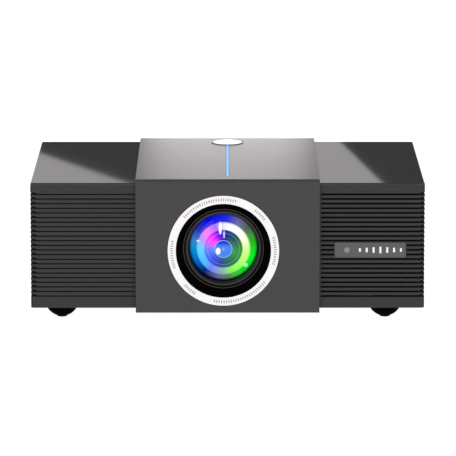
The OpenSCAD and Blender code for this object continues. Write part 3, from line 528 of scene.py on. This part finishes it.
@dataclass(frozen=True)
class CoatedLens(Finish):
    """The front glass, whose coatings and inner elements show as coloured rings: painted
    reflections that glow by emission.

    Attributes:
        centre: The middle of the glass.
        radius: The radius of the glass that shows.
        drop: How far the inner rings sit below the middle, in radii.
    """

    centre: Sequence[float] = (0.0, 0.0, 0.0)
    radius: float = 26.6 * MM
    drop: float = 0.045

    # Where each zone gives way to the next, outermost first, in radii.
    RIM, MIDDLE, INSIDE, CORE = (0.89, 0.995), (0.79, 0.72), (0.575, 0.53), (0.27, 0.24)
    # Fine rings: the radius, the half width and the share of light.
    RINGS = ((0.25, 0.014, 0.75), (0.33, 0.008, 0.2), (0.46, 0.010, 0.35), (0.63, 0.008, 0.2),
             (0.735, 0.008, 0.3))
    RING_LIGHT = (0.25, 0.62, 0.95)
    # Glints: the place across and up, the half width, the half height and the share of light.
    GLINTS = ((-0.15, -0.06, 0.075, 0.11, 0.9), (-0.09, 0.60, 0.05, 0.19, 0.85),
              (0.64, -0.49, 0.07, 0.06, 0.45), (-0.73, 0.22, 0.05, 0.03, 0.7),
              (0.02, 0.42, 0.03, 0.12, 0.55))
    # Painted reflections in the coatings, by angle, from straight left round through the bottom,
    # the right and the top.
    OUTER = ((0.00, (0.0, 0.27, 0.58)), (0.08, (0.0, 0.12, 0.50)), (0.14, (0.0, 0.02, 0.16)),
             (0.22, (0.12, 0.13, 0.30)), (0.28, (0.10, 0.22, 0.08)), (0.36, (0.0, 0.66, 0.01)),
             (0.46, (0.0, 0.84, 0.02)), (0.54, (0.02, 0.42, 0.01)), (0.61, (0.08, 0.12, 0.06)),
             (0.67, (0.12, 0.12, 0.30)), (0.73, (0.01, 0.02, 0.62)), (0.83, (0.0, 0.0, 0.72)),
             (0.90, (0.02, 0.03, 0.42)), (0.95, (0.04, 0.18, 0.56)), (1.0, (0.0, 0.27, 0.58)))
    BAND = ((0.00, (0.09, 0.60, 0.98)), (0.10, (0.06, 0.42, 0.95)), (0.16, (0.14, 0.18, 0.90)),
            (0.24, (0.24, 0.40, 0.34)), (0.31, (0.20, 0.85, 0.06)), (0.40, (0.38, 1.0, 0.14)),
            (0.50, (0.66, 0.95, 0.24)), (0.58, (0.95, 1.0, 0.74)), (0.66, (1.0, 1.0, 1.0)),
            (0.74, (0.82, 0.78, 1.0)), (0.80, (0.34, 0.16, 0.98)), (0.88, (0.96, 0.16, 0.98)),
            (0.94, (0.40, 0.30, 0.95)), (1.0, (0.09, 0.60, 0.98)))
    INNER = ((0.00, (0.12, 0.20, 0.90)), (0.12, (0.03, 0.06, 0.76)), (0.22, (0.01, 0.04, 0.26)),
             (0.32, (0.01, 0.12, 0.06)), (0.46, (0.02, 0.28, 0.02)), (0.58, (0.02, 0.10, 0.05)),
             (0.66, (0.01, 0.06, 0.12)), (0.74, (0.0, 0.0, 0.36)), (0.81, (0.20, 0.0, 0.85)),
             (0.88, (0.98, 0.02, 0.95)), (0.95, (0.55, 0.10, 0.90)), (1.0, (0.12, 0.20, 0.90)))

    def build(self) -> bpy.types.Material:
        """Makes the material.

        Returns:
            The finished material.
        """
        graph = Graph(self.name)
        scale = 1.0 / self.radius
        u, _, rise = graph.axes(graph.place(self.centre, (scale, scale, scale)))
        edge = graph.maths("SQRT", u * u + rise * rise)
        v = rise + self.drop
        reach = graph.maths("SQRT", u * u + v * v)
        turn = graph.maths("ARCTAN2", v, u) / math.tau + 0.5
        colour = graph.mix(graph.smooth(edge, *self.RIM), graph.ramp(turn, self.OUTER),
                           (0.0, 0.0, 0.01))
        colour = graph.mix(graph.smooth(reach, *self.MIDDLE), colour,
                           graph.ramp(turn, self.BAND))
        colour = graph.mix(graph.smooth(reach, *self.INSIDE), colour,
                           graph.ramp(turn, self.INNER))
        colour = graph.mix(graph.smooth(reach, *self.CORE), colour,
                           self._core(graph, v, reach))
        for ring, width, share in self.RINGS:
            line = graph.smooth(abs(reach - ring), width, width * 0.3) * share
            colour = graph.mix(line, colour, self.RING_LIGHT)
        for glint in self._glints(graph, u, v):
            colour = graph.mix(glint, colour, (1.0, 1.0, 1.0))
        # The painted reflections and glints glow by emission, though the glass is no lamp.
        return graph.surface(
            Base_Color=graph.mix(0.85, colour, (0.0, 0.0, 0.0)), Roughness=self.roughness,
            Specular_IOR_Level=0.25, Emission_Color=colour, Emission_Strength=1.0)

    def _core(self, graph: Graph, v: Wire, reach: Wire) -> Wire:
        """The smallest element's painted reflection: deep blue above, sky blue below and a painted
        highlight in the middle.
        """
        sky = graph.mix(graph.smooth(v, 0.06, 0.2), (0.05, 0.19, 0.72), (0.0, 0.01, 0.62))
        return graph.mix(graph.smooth(reach, 0.07, 0.01) * 0.6, sky, (0.2, 0.5, 0.95))

    def _glints(self, graph: Graph, u: Wire, v: Wire) -> Iterable[Wire]:
        """The lamps mirrored in the inner elements, as soft masks.

        Args:
            graph: The material's nodes.
            u: The place across the glass, in radii.
            v: The place up the glass, in radii.

        Returns:
            One mask for each glint.
        """
        for x, y, wide, tall, share in self.GLINTS:
            across = (u - x) / wide
            along = (v - y) / tall
            yield graph.smooth(across * across + along * along, 1.1, 0.5) * share


@dataclass(frozen=True)
class LensRing(Finish):
    """The retaining ring: grey on its front, black down its bore.

    Attributes:
        centre: The middle of the ring.
        bore: The radius inside which it is black.
    """

    centre: Sequence[float] = (0.0, 0.0, 0.0)
    bore: float = 27.25 * MM

    def build(self) -> bpy.types.Material:
        """Makes the material.

        Returns:
            The finished material.
        """
        graph = Graph(self.name)
        point = graph.place(self.centre)
        x, _, z = graph.axes(point)
        reach = graph.maths("SQRT", x * x + z * z)
        front = graph.smooth(reach, self.bore, self.bore + 0.1 * MM)
        fine = graph.noise(point, 0.4 * MM)
        return graph.surface(
            Base_Color=graph.mix(front, (0.001, 0.001, 0.001), self.colour),
            Roughness=self.roughness + (fine - 0.5) * 0.1,
            Specular_IOR_Level=0.3, Normal=graph.bump(fine, 0.006 * MM))


# ------------------------------------------------------------------ the workbench
class Bench:
    """Mesh work by Blender's own operators, on one piece at a time."""

    @staticmethod
    def hold(piece: bpy.types.Object) -> None:
        """Selects one piece and nothing else.

        Args:
            piece: The piece.
        """
        bpy.ops.object.select_all(action="DESELECT")
        piece.select_set(True)
        bpy.context.view_layer.objects.active = piece

    @staticmethod
    def settle(name: str) -> bpy.types.Object:
        """Names the active piece and puts its place and size into its mesh.

        Args:
            name: The piece's name.

        Returns:
            The piece.
        """
        piece = bpy.context.active_object
        piece.name = name
        piece.data.name = name
        Bench.hold(piece)
        bpy.ops.object.transform_apply(location=True, rotation=True, scale=True)
        return piece

    @staticmethod
    def block(name: str, low: Sequence[float], high: Sequence[float]) -> bpy.types.Object:
        """A block between two corners.

        Args:
            name: The piece's name.
            low: Its lowest corner.
            high: Its highest corner.

        Returns:
            The block.
        """
        bpy.ops.object.select_all(action="DESELECT")
        centre = [(a + b) / 2 for a, b in zip(low, high)]
        bpy.ops.mesh.primitive_cube_add(size=1.0, location=centre)
        bpy.context.active_object.scale = [b - a for a, b in zip(low, high)]
        return Bench.settle(name)

    @staticmethod
    def collar(name: str, centre: Sequence[float], radius: float, depth: float, thickness: float,
               along: Along = Along.Y, sides: int = 48) -> bpy.types.Object:
        """A flat ring with rounded edges, about a centre.

        Args:
            name: The piece's name.
            centre: Its middle.
            radius: Its outer radius.
            depth: How deep it is along its axis.
            thickness: How thick its wall is.
            along: Its axis.
            sides: How many sides stand for the circle.

        Returns:
            The ring.
        """
        bpy.ops.object.select_all(action="DESELECT")
        turns = {Along.X: (0.0, math.pi / 2, 0.0), Along.Y: (math.pi / 2, 0.0, 0.0),
                 Along.Z: (0.0, 0.0, 0.0)}
        bpy.ops.mesh.primitive_cylinder_add(vertices=sides, radius=radius, depth=depth,
                                            end_fill_type="NOTHING", location=centre,
                                            rotation=turns[along])
        ring = Bench.settle(name)
        wall = ring.modifiers.new("wall", "SOLIDIFY")
        wall.thickness = thickness
        wall.offset = -1.0
        bpy.ops.object.modifier_apply(modifier=wall.name)
        Bench.soften(ring, min(depth, thickness) * 0.3)
        return ring

    @staticmethod
    def mend(piece: bpy.types.Object) -> None:
        """Merges a piece's loose triangles and clears the edges in its flat faces.

        Args:
            piece: The piece to mend.
        """
        Bench.hold(piece)
        bpy.ops.object.mode_set(mode="EDIT")
        bpy.ops.mesh.select_all(action="SELECT")
        bpy.ops.mesh.remove_doubles(threshold=MERGE)
        bpy.ops.mesh.dissolve_limited(angle_limit=FLAT)
        bpy.ops.object.mode_set(mode="OBJECT")

    @staticmethod
    def soften(piece: bpy.types.Object, width: float, steps: int = 2, angle: float = 35.0) -> None:
        """Rounds a piece's sharp edges and shades it smooth between them.

        Args:
            piece: The piece to round.
            width: The width of the rounding.
            steps: How many faces make the rounding.
            angle: The least angle that counts as sharp, in degrees.
        """
        Bench.hold(piece)
        bevel = piece.modifiers.new("round", "BEVEL")
        bevel.width = width
        bevel.segments = steps
        bevel.limit_method = "ANGLE"
        bevel.angle_limit = math.radians(angle)
        bevel.use_clamp_overlap = True
        bpy.ops.object.modifier_apply(modifier=bevel.name)
        bpy.ops.object.shade_smooth_by_angle(angle=math.radians(angle))
        level = piece.modifiers.new("level", "WEIGHTED_NORMAL")
        level.keep_sharp = True
        level.weight = 100
        bpy.ops.object.modifier_apply(modifier=level.name)

    @staticmethod
    def spread(piece: bpy.types.Object, moves: Sequence[Matrix]) -> bpy.types.Object:
        """Copies a piece to each place, with a mesh for each, and joins the copies.

        Args:
            piece: The pattern, which is used up.
            moves: Where each copy goes.

        Returns:
            The one joined piece.
        """
        copies = []
        for move in moves:
            copy = piece.copy()
            copy.data = piece.data.copy()
            copy.data.transform(move)
            bpy.context.scene.collection.objects.link(copy)
            copies.append(copy)
        name = piece.name
        bpy.data.objects.remove(piece)
        Bench.hold(copies[0])
        for copy in copies:
            copy.select_set(True)
        bpy.ops.object.join()
        copies[0].name = name
        copies[0].data.name = name
        return copies[0]


# ------------------------------------------------------------------ the object
@dataclass
class Assembly:
    """A group of the object's pieces, built and dressed together.

    Attributes:
        nodes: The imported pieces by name.
        made: The new pieces, in the order of their making.
    """

    nodes: dict[str, bpy.types.Object]
    made: list[bpy.types.Object] = field(default_factory=list)

    def dress(self, finish: Finish, *names: str) -> bpy.types.Material:
        """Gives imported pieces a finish.

        Args:
            finish: The finish.
            names: The pieces' names.

        Returns:
            The material, for new pieces of the same finish.
        """
        material = finish.build()
        for name in names:
            self.paint(self.nodes[name], material)
        return material

    def paint(self, piece: bpy.types.Object, material: bpy.types.Material) -> None:
        """Puts one material all over a piece.

        Args:
            piece: The piece.
            material: The material.
        """
        if not piece.material_slots:
            piece.data.materials.append(material)
        for slot in piece.material_slots:
            slot.material = material

    def fit(self, piece: bpy.types.Object, body: Body, slot: str,
            material: bpy.types.Material, *replaced: str) -> None:
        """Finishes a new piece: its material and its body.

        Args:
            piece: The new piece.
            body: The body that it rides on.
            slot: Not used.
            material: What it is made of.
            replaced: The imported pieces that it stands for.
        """
        self.paint(piece, material)
        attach(piece, body.value)
        if replaced:
            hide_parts(*replaced)
        self.made.append(piece)
        LOG.info("%s: %d faces on %s", piece.name, len(piece.data.polygons), body.value)

    def softened(self, name: str, width: float, steps: int = 2) -> bpy.types.Object:
        """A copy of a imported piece, merged and with its edges rounded.

        Args:
            name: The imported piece.
            width: The width of the rounding.
            steps: How many faces make the rounding.

        Returns:
            The copy, which still has to be fitted.
        """
        piece = self.nodes[name].copy()
        piece.data = self.nodes[name].data.copy()
        piece.parent = None
        piece.matrix_world = Matrix.Identity(4)
        piece.name = f"{name}_finished"
        bpy.context.scene.collection.objects.link(piece)
        Bench.mend(piece)
        Bench.soften(piece, width, steps)
        return piece


@dataclass
class CaseShells(Assembly):
    """The tray, the band, the wings, their gloss plates and the badge.

    Attributes:
        bar_count: How many bars the badge has.
        bar_pitch: How far apart the bars are.
        bar_width: How wide a bar is.
        bar_half: Half the height of the tallest bar.
        bar_start: How far the first bar is from the middle of the receiver's window.
        bar_proud: How far the bars stand proud.
        bar_sunk: How far the bars go in.
    """

    bar_count: int = 7
    bar_pitch: float = 5.2 * MM
    bar_width: float = 1.7 * MM
    bar_half: float = 2.6 * MM
    bar_start: float = 9 * MM
    bar_proud: float = 0.02 * MM
    bar_sunk: float = 0.3 * MM

    def build(self) -> None:
        """Dresses the shells and makes the mark on the badge."""
        self.dress(Moulded("Tray plastic", (0.022, 0.021, 0.022), 0.55), "base_tray")
        band = Moulded("Band satin", (0.033, 0.0318, 0.0322), 0.42, depth=0.006 * MM,
                       level=0.42).build()
        self.fit(self.softened("centre_cover", 0.3 * MM), Body.CASE, "band_satin", band,
                 "centre_cover")
        for side in ("left", "right"):
            low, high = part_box(f"{side}_wing")
            self.dress(Louvred(f"Wing plastic {side}", (0.018, 0.0172, 0.0174), 0.45,
                               depth=0.006 * MM, level=0.38, low=low, high=high),
                       f"{side}_wing")
        self.dress(Gloss("Wing gloss", (0.012, 0.0115, 0.0115), 0.03),
                   "left_top_plate", "right_top_plate")
        self.dress(Moulded("Panel plastic", (0.012, 0.012, 0.012), 0.6), "io_panel")
        self.dress(Metal("Black screws", (0.10, 0.10, 0.105), 0.4), "case_screws")
        self.dress(Moulded("Badge grey", (0.076, 0.073, 0.073), 0.5), "badge_plate")
        self.dress(Gloss("Infrared window", (0.21, 0.19, 0.20), 0.2), "ir_window")
        self.dress(Moulded("Receiver black", (0.01, 0.01, 0.012), 0.5), "ir_receiver")
        self.badge_bars()

    def badge_bars(self) -> None:
        """Seven plain bars beside the receiver, tallest in the middle."""
        low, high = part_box("badge_plate")
        window_low, window_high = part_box("ir_window")
        middle = (low[2] + high[2]) / 2
        first = (window_low[0] + window_high[0]) / 2 + self.bar_start
        white = Moulded("Badge white", (0.85, 0.85, 0.85), 0.4).build()
        bars = []
        for index in range(self.bar_count):
            rise = 1.0 - abs(index - (self.bar_count - 1) / 2) / self.bar_count
            half = self.bar_half * rise
            x = first + index * self.bar_pitch
            bar = Bench.block(f"badge_bar_{index + 1}",
                              (x, low[1] - self.bar_proud, middle - half),
                              (x + self.bar_width, low[1] + self.bar_sunk, middle + half))
            Bench.soften(bar, 0.3 * MM)
            bars.append(bar)
        for bar in bars:
            self.fit(bar, Body.CASE, "white_trim", white)


@dataclass
class LensTrim(Assembly):
    """The white ring with its scale, and the tunnel behind it.

    Attributes:
        tick_length: How long a tick is.
        tick_width: How wide a tick is.
        tick_pitch: The angle from tick to tick, in degrees.
        tick_inset: How far in from the ring's outer edge the ticks start.
        tick_proud: How far the ticks stand proud.
        tick_sunk: How far the ticks go in.
        arcs: The middle and the span of each group, in degrees up from the right.
    """

    tick_length: float = 2.2 * MM
    tick_width: float = 0.85 * MM
    tick_pitch: float = 2.7
    tick_inset: float = 1.9 * MM
    tick_proud: float = 0.015 * MM
    tick_sunk: float = 0.2 * MM
    arcs: Sequence[tuple[float, float]] = (
        (107.5, 66.0), (45.0, 18.0), (0.0, 34.0), (-69.0, 66.0), (-130.5, 18.0), (184.0, 33.0))

    def build(self) -> None:
        """Dresses the trim and makes the scale."""
        white = Moulded("Ring white", (0.83, 0.825, 0.83), 0.35, depth=0.002 * MM, mottle=0.01)
        ring = self.softened("lens_trim_ring", 0.25 * MM)
        self.fit(ring, Body.CASE, "white_trim", white.build(), "lens_trim_ring")
        self.dress(Moulded("Tunnel black", (0.0012, 0.0012, 0.0012), 0.9, level=0.05),
                   "lens_shroud")
        self.scale()

    def scale(self) -> None:
        """Six groups of ticks round the ring, long groups and short ones."""
        low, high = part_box("lens_trim_ring")
        centre = Vector(((low[0] + high[0]) / 2, low[1], (low[2] + high[2]) / 2))
        top = high[2] - self.tick_inset
        grey = Moulded("Scale grey", (0.30, 0.30, 0.31), 0.5).build()
        for number, (middle, span) in enumerate(self.arcs, 1):
            count = int(span / self.tick_pitch)
            tick = Bench.block(f"ring_scale_{number}",
                               (centre.x - self.tick_width / 2, low[1] - self.tick_proud,
                                top - self.tick_length),
                               (centre.x + self.tick_width / 2, low[1] + self.tick_sunk, top))
            Bench.soften(tick, 0.03 * MM, 1)
            moves = []
            for index in range(count):
                angle = middle + (index - (count - 1) / 2) * self.tick_pitch - 90.0
                turn = Matrix.Rotation(math.radians(-angle), 4, "Y")
                moves.append(Matrix.Translation(centre) @ turn @ Matrix.Translation(-centre))
            self.fit(Bench.spread(tick, moves), Body.CASE, "ring_grey", grey)


@dataclass
class ProjectionLens(Assembly):
    """The focusing barrel and its glass.

    Attributes:
        line_width: How wide the grey line of painted highlight round the barrel's edge is.
        line_depth: How deep the line is, half of it proud.
        line_inset: How far in from the barrel's side the line starts.
    """

    line_width: float = 0.55 * MM
    line_depth: float = 0.5 * MM
    line_inset: float = 0.05 * MM

    def build(self) -> None:
        """Dresses the lens and makes the painted highlight line round the barrel's edge."""
        low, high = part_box("lens_barrel")
        centre = ((low[0] + high[0]) / 2, low[1], (low[2] + high[2]) / 2)
        self.dress(Moulded("Barrel black", (0.0015, 0.0015, 0.0015), 0.85, level=0.08),
                   "lens_barrel")
        self.dress(LensRing("Retaining ring", (0.030, 0.028, 0.026), 0.5, centre=centre),
                   "retaining_ring")
        self.dress(CoatedLens("Coated front glass", (0.0, 0.0, 0.0), 0.06, centre=centre),
                   "front_element")
        self.dress(ClearGlass("Inner glass", (0.7, 0.8, 0.95), 0.02),
                   "middle_element", "rear_element")
        self.dress(Moulded("Lens mount black", (0.015, 0.015, 0.016), 0.6),
                   "lens_mount", "focus_drive")
        self.dress(Metal("Motor shaft steel", (0.55, 0.55, 0.57), 0.25), "focus_screw")
        self.rim_highlight(centre, (high[2] - low[2]) / 2)

    def rim_highlight(self, centre: Sequence[float], radius: float) -> None:
        """A thin grey ring round the barrel's front edge, a painted highlight where the rim catches
        the light.

        Args:
            centre: The middle of the barrel's front.
            radius: The barrel's radius.
        """
        line = Bench.collar("barrel_rim_highlight", centre, radius - self.line_inset,
                            self.line_depth, self.line_width, sides=128)
        grey = Moulded("Barrel highlight grey", (0.035, 0.033, 0.032), 0.5).build()
        self.fit(line, Body.LENS, "ring_grey", grey)


@dataclass
class TopControls(Assembly):
    """The power button, its bezel and the line of light.

    Attributes:
        mark_radius: The radius of the ring in the sign for power.
        mark_line: How wide the sign's lines are.
        mark_proud: How far the sign stands proud, and how far it goes in.
    """

    mark_radius: float = 2.4 * MM
    mark_line: float = 0.5 * MM
    mark_proud: float = 0.04 * MM

    def build(self) -> None:
        """Dresses the controls and makes the button's cap."""
        self.dress(Moulded("Bezel grey", (0.05, 0.05, 0.05), 0.5, level=0.2), "button_bezel")
        self.dress(LitGuide("Light guide", (0.43, 0.66, 0.97), 0.6, edge=(0.22, 0.41, 0.70)),
                   "light_guide")
        self.dress(Board("Control board", (0.02, 0.12, 0.05), 0.4), "top_board")
        cap = self.softened("power_button", 0.35 * MM, 3)
        silver = Moulded("Button silver", (0.86, 0.86, 0.87), 0.3, depth=0.003 * MM,
                         mottle=0.01).build()
        self.fit(cap, Body.BUTTON, "button_silver", silver, "power_button")
        self.mark()

    def mark(self) -> None:
        """The common sign for power on the cap: a ring with a stroke at its head."""
        low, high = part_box("power_button")
        centre = ((low[0] + high[0]) / 2, (low[1] + high[1]) / 2, high[2])
        grey = Moulded("Mark grey", (0.40, 0.40, 0.41), 0.4, mottle=0.02).build()
        ring = Bench.collar("power_mark_ring", centre, self.mark_radius, self.mark_proud * 2,
                            self.mark_line, along=Along.Z)
        stroke = Bench.block("power_mark_stroke",
                             (centre[0] - self.mark_line / 2, centre[1] + self.mark_line,
                              centre[2] - self.mark_proud),
                             (centre[0] + self.mark_line / 2,
                              centre[1] + self.mark_radius + self.mark_line,
                              centre[2] + self.mark_proud))
        Bench.soften(stroke, self.mark_proud * 0.5)
        for piece in (ring, stroke):
            self.fit(piece, Body.BUTTON, "ring_grey", grey)


@dataclass
class Footing(Assembly):
    """The ball feet, their stems and the threads in the base."""

    def build(self) -> None:
        """Dresses the feet."""
        rubber = Moulded("Foot rubber", (0.0008, 0.0008, 0.0008), 0.9, level=0.02)
        self.dress(rubber, "foot_left_pad", "foot_right_pad", "rear_feet")
        self.dress(Moulded("Foot plastic", (0.0008, 0.0008, 0.0008), 0.9, level=0.02),
                   "foot_left_screw", "foot_right_screw")
        self.dress(Metal("Brass inserts", (0.72, 0.52, 0.24), 0.3, along=Along.Z),
                   "foot_nuts", "tripod_insert", "bracket_inserts")


@dataclass
class Sockets(Assembly):
    """The sockets in the back.

    Attributes:
        jack_radius: The outer radius of a jack's coloured collar.
        collar_wall: How wide the collar's face is.
        collar_depth: How deep the collar is, half of it proud.
    """

    jack_radius: float = 3.4 * MM
    collar_wall: float = 1.3 * MM
    collar_depth: float = 0.3 * MM

    def build(self) -> None:
        """Dresses the sockets and makes the jacks' coloured collars."""
        self.dress(Metal("Socket nickel", (0.70, 0.71, 0.72), 0.22),
                   "socket_shells", "inlet_pins")
        self.dress(Moulded("Socket black", (0.012, 0.012, 0.013), 0.4),
                   "audio_jacks", "power_inlet", "socket_tongues")
        self.collars()

    def collars(self) -> None:
        """A coloured ring round the mouth of each jack: lime for sound, yellow for pictures."""
        low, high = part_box("audio_jacks")
        tints = {"lime": (0.22, 0.55, 0.10), "yellow": (0.80, 0.58, 0.05)}
        half = (high[2] - low[2]) / 2
        for (tint, colour), x in zip(tints.items(), (low[0] + half, high[0] - half)):
            ring = Bench.collar(f"jack_collar_{tint}", (x, high[1], low[2] + half),
                                self.jack_radius, self.collar_depth, self.collar_wall)
            finish = Moulded(f"Jack {tint}", colour, 0.4, mottle=0.02)
            self.fit(ring, Body.CASE, "component_black", finish.build())


@dataclass
class Electronics(Assembly):
    """The boards, what stands on them and the speakers."""

    def build(self) -> None:
        """Dresses the electronics."""
        self.dress(Board("Main boards", (0.015, 0.10, 0.045), 0.4), "main_board", "power_board")
        self.dress(Metal("Extruded aluminium", (0.62, 0.63, 0.65), 0.4),
                   "processor_sink", "heat_sink", "lamp_house")
        self.dress(Moulded("Power parts", (0.42, 0.27, 0.05), 0.5), "power_parts")
        self.dress(Moulded("Fan black", (0.014, 0.014, 0.015), 0.5), "left_fan_frame",
                   "right_fan_frame", "left_fan_rotor", "right_fan_rotor", "speaker_frames")
        self.dress(Woven("Filter mesh", (0.010, 0.010, 0.010), 0.8), "intake_filter")
        self.dress(Woven("Cone paper", (0.04, 0.04, 0.04), 0.8, thread=1.0 * MM),
                   "speaker_cones")


@dataclass
class Engine(Assembly):
    """The optical engine, from the diode to the mirror."""

    def build(self) -> None:
        """Dresses the engine."""
        self.dress(Moulded("Engine black", (0.014, 0.014, 0.015), 0.6),
                   "engine_case", "engine_lid")
        self.dress(Metal("Mirror silver", (0.86, 0.88, 0.90), 0.03, depth=0.0005 * MM),
                   "fold_mirror")
        self.dress(ClearGlass("Panel glass", (0.12, 0.16, 0.2), 0.05), "lcd_panel")
        self.dress(ClearGlass("Engine glass", (0.85, 0.93, 0.95), 0.02),
                   "fresnel_lenses", "heat_glass", "condenser_lens")
        self.dress(Metal("Copper", (0.80, 0.38, 0.22), 0.3), "led_module", "heat_pipes")


# ------------------------------------------------------------------ the studio
@dataclass
class Studio:
    """The floor, the lights, the cards that the gloss mirrors and the camera.

    Attributes:
        front: How far forward the wings' front faces stand.
        dim: How bright the room is behind the viewer.
        bright: How bright the rest of the room is.
        lamps_at: Each lamp's name, place, width and height, and power in watts.
        card_y: How far back the cards stand.
        card_low: How low the cards reach.
        card_glow: How bright the cards are.
        tint: The light's colour, a shade warmer than white.
        camera_at: Where the camera stands.
        aim_x: How far across the camera looks.
        aim_z: How high the camera looks.
        lens: The camera's focal length in millimetres.
    """

    front: float
    dim: float = 0.37
    bright: float = 0.71
    lamps_at: Sequence[tuple[str, Sequence[float], tuple[float, float], float]] = (
        ("key", (-1.5, -1.7, 1.3), (2.2, 2.2), 22.5),
        ("fill", (1.6, -1.6, 0.9), (2.2, 2.2), 16.5),
        ("back", (0.0, 0.60, 0.12), (0.15, 0.2), 0.63))
    card_y: float = 1.2
    card_low: float = 0.20
    card_glow: float = 0.08
    tint: Colour = (1.0, 0.955, 0.968)
    camera_at: Sequence[float] = (-0.0033, -3.1771, 0.6165)
    aim_x: float = 0.0003
    aim_z: float = 0.0728
    lens: float = 324.5

    def build(self) -> None:
        """Sets the whole studio."""
        bpy.context.scene.view_settings.view_transform = "Standard"
        self.world()
        self.floor()
        self.lamps()
        self.cards()
        self.camera()

    def world(self) -> None:
        """A white room whose front wall, behind the viewer, is dimmer than the rest."""
        world = bpy.data.worlds.new("White room")
        bpy.context.scene.world = world
        world.use_nodes = True
        tree = world.node_tree
        tree.nodes.clear()
        output = tree.nodes.new("ShaderNodeOutputWorld")
        seen = tree.nodes.new("ShaderNodeBackground")
        light = tree.nodes.new("ShaderNodeBackground")
        mix = tree.nodes.new("ShaderNodeMixShader")
        path = tree.nodes.new("ShaderNodeLightPath")
        place = tree.nodes.new("ShaderNodeTexCoord")
        split = tree.nodes.new("ShaderNodeSeparateXYZ")
        fade = tree.nodes.new("ShaderNodeMapRange")
        fade.interpolation_type = "SMOOTHSTEP"
        for name, value in (("From Min", -0.9), ("From Max", 0.1), ("To Min", self.dim),
                            ("To Max", self.bright)):
            fade.inputs[name].default_value = value
        link = tree.links.new
        link(place.outputs["Generated"], split.inputs[0])
        link(split.outputs[1], fade.inputs["Value"])
        link(fade.outputs[0], light.inputs["Strength"])
        link(path.outputs["Is Camera Ray"], mix.inputs[0])
        link(light.outputs[0], mix.inputs[1])
        link(seen.outputs[0], mix.inputs[2])
        link(mix.outputs[0], output.inputs["Surface"])
        seen.inputs["Color"].default_value = (1.0, 1.0, 1.0, 1.0)
        light.inputs["Color"].default_value = (*self.tint, 1.0)

    def floor(self) -> None:
        """A plain white floor that takes only a faint shadow."""
        bpy.ops.object.select_all(action="DESELECT")
        bpy.ops.mesh.primitive_plane_add(size=12.0, location=(0.0, 0.0, 0.0))
        floor = bpy.context.active_object
        floor.name = "studio_floor"
        graph = Graph("Floor white")
        matt = graph.node("ShaderNodeBsdfDiffuse", None, {"Color": (0.35, 0.35, 0.35)})
        lit = graph.node("ShaderNodeEmission", None,
                         {"Color": (1.0, 1.0, 1.0), "Strength": 0.97})
        both = graph.node("ShaderNodeAddShader")
        graph.tree.links.new(matt.outputs[0], both.inputs[0])
        graph.tree.links.new(lit.outputs[0], both.inputs[1])
        graph.tree.links.new(both.outputs[0], graph.output.inputs["Surface"])
        floor.data.materials.append(graph.material)

    def lamp(self, name: str, place: Sequence[float], size: tuple[float, float],
             power: float) -> None:
        """One soft lamp that looks at the object and isn't seen itself.

        Args:
            name: The lamp's name.
            place: Where it hangs.
            size: Its width and its height.
            power: Its power in watts.
        """
        data = bpy.data.lights.new(name, "AREA")
        data.shape = "RECTANGLE"
        data.size, data.size_y = size
        data.energy = power
        data.color = self.tint
        lamp = bpy.data.objects.new(name, data)
        bpy.context.scene.collection.objects.link(lamp)
        lamp.visible_camera = False
        lamp.location = place
        aim = Vector((0.0, 0.0, 0.06)) - Vector(place)
        lamp.rotation_euler = aim.to_track_quat("-Z", "Y").to_euler()

    def lamps(self) -> None:
        """Two soft boxes in front, one on each side, and a low one behind that grades the top."""
        for name, place, size, power in self.lamps_at:
            self.lamp(name, place, size, power)

    def card(self, name: str, corners: Sequence[tuple[float, float]]) -> None:
        """An upright card behind the object that only the gloss mirrors.

        Args:
            name: The card's name.
            corners: Its corners, each a place across and a height.
        """
        mesh = bpy.data.meshes.new(name)
        mesh.from_pydata([(x, self.card_y, z) for x, z in corners], [],
                         [tuple(range(len(corners)))])
        card = bpy.data.objects.new(name, mesh)
        bpy.context.scene.collection.objects.link(card)
        graph = Graph(name)
        lit = graph.node("ShaderNodeEmission", None,
                         {"Color": (1.0, 1.0, 1.0), "Strength": self.card_glow})
        graph.tree.links.new(lit.outputs[0], graph.output.inputs["Surface"])
        card.data.materials.append(graph.material)
        card.visible_camera = False
        card.visible_diffuse = False
        card.visible_shadow = False

    def cards(self) -> None:
        """Dark flags whose slanted edges cross the gloss plates."""
        self.card("flag_left", ((-0.2400, 0.2757), (-0.1965, 0.2911), (-0.1277, 0.3151),
                                (-0.0850, 0.3300), (-0.0850, self.card_low),
                                (-0.2400, self.card_low)))
        self.card("flag_right", ((0.1182, 0.2728), (0.1507, 0.3050), (0.1789, 0.3328),
                                 (0.2664, 0.4200), (0.3000, 0.4200), (0.3000, self.card_low),
                                 (0.1182, self.card_low)))

    def camera(self) -> None:
        """The camera, a little above the object and well in front of it."""
        data = bpy.data.cameras.new("camera")
        data.lens = self.lens
        data.sensor_width = 36.0
        data.clip_end = 50.0
        camera = bpy.data.objects.new("camera", data)
        bpy.context.scene.collection.objects.link(camera)
        camera.location = self.camera_at
        aim = Vector((self.aim_x, self.front, self.aim_z)) - Vector(self.camera_at)
        camera.rotation_euler = aim.to_track_quat("-Z", "Y").to_euler()
        bpy.context.scene.camera = camera


def main() -> None:
    """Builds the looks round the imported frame, assembly by assembly."""
    logging.basicConfig(level=logging.INFO, format="%(message)s")
    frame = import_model()
    for assembly in (CaseShells, LensTrim, ProjectionLens, TopControls, Footing, Sockets,
                     Electronics, Engine):
        built = assembly(frame["nodes"])
        built.build()
        LOG.info("%s: %d new pieces", assembly.__name__, len(built.made))
    Studio(front=float(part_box("left_wing")[0][1])).build()


if __name__ == "__main__":
    main()
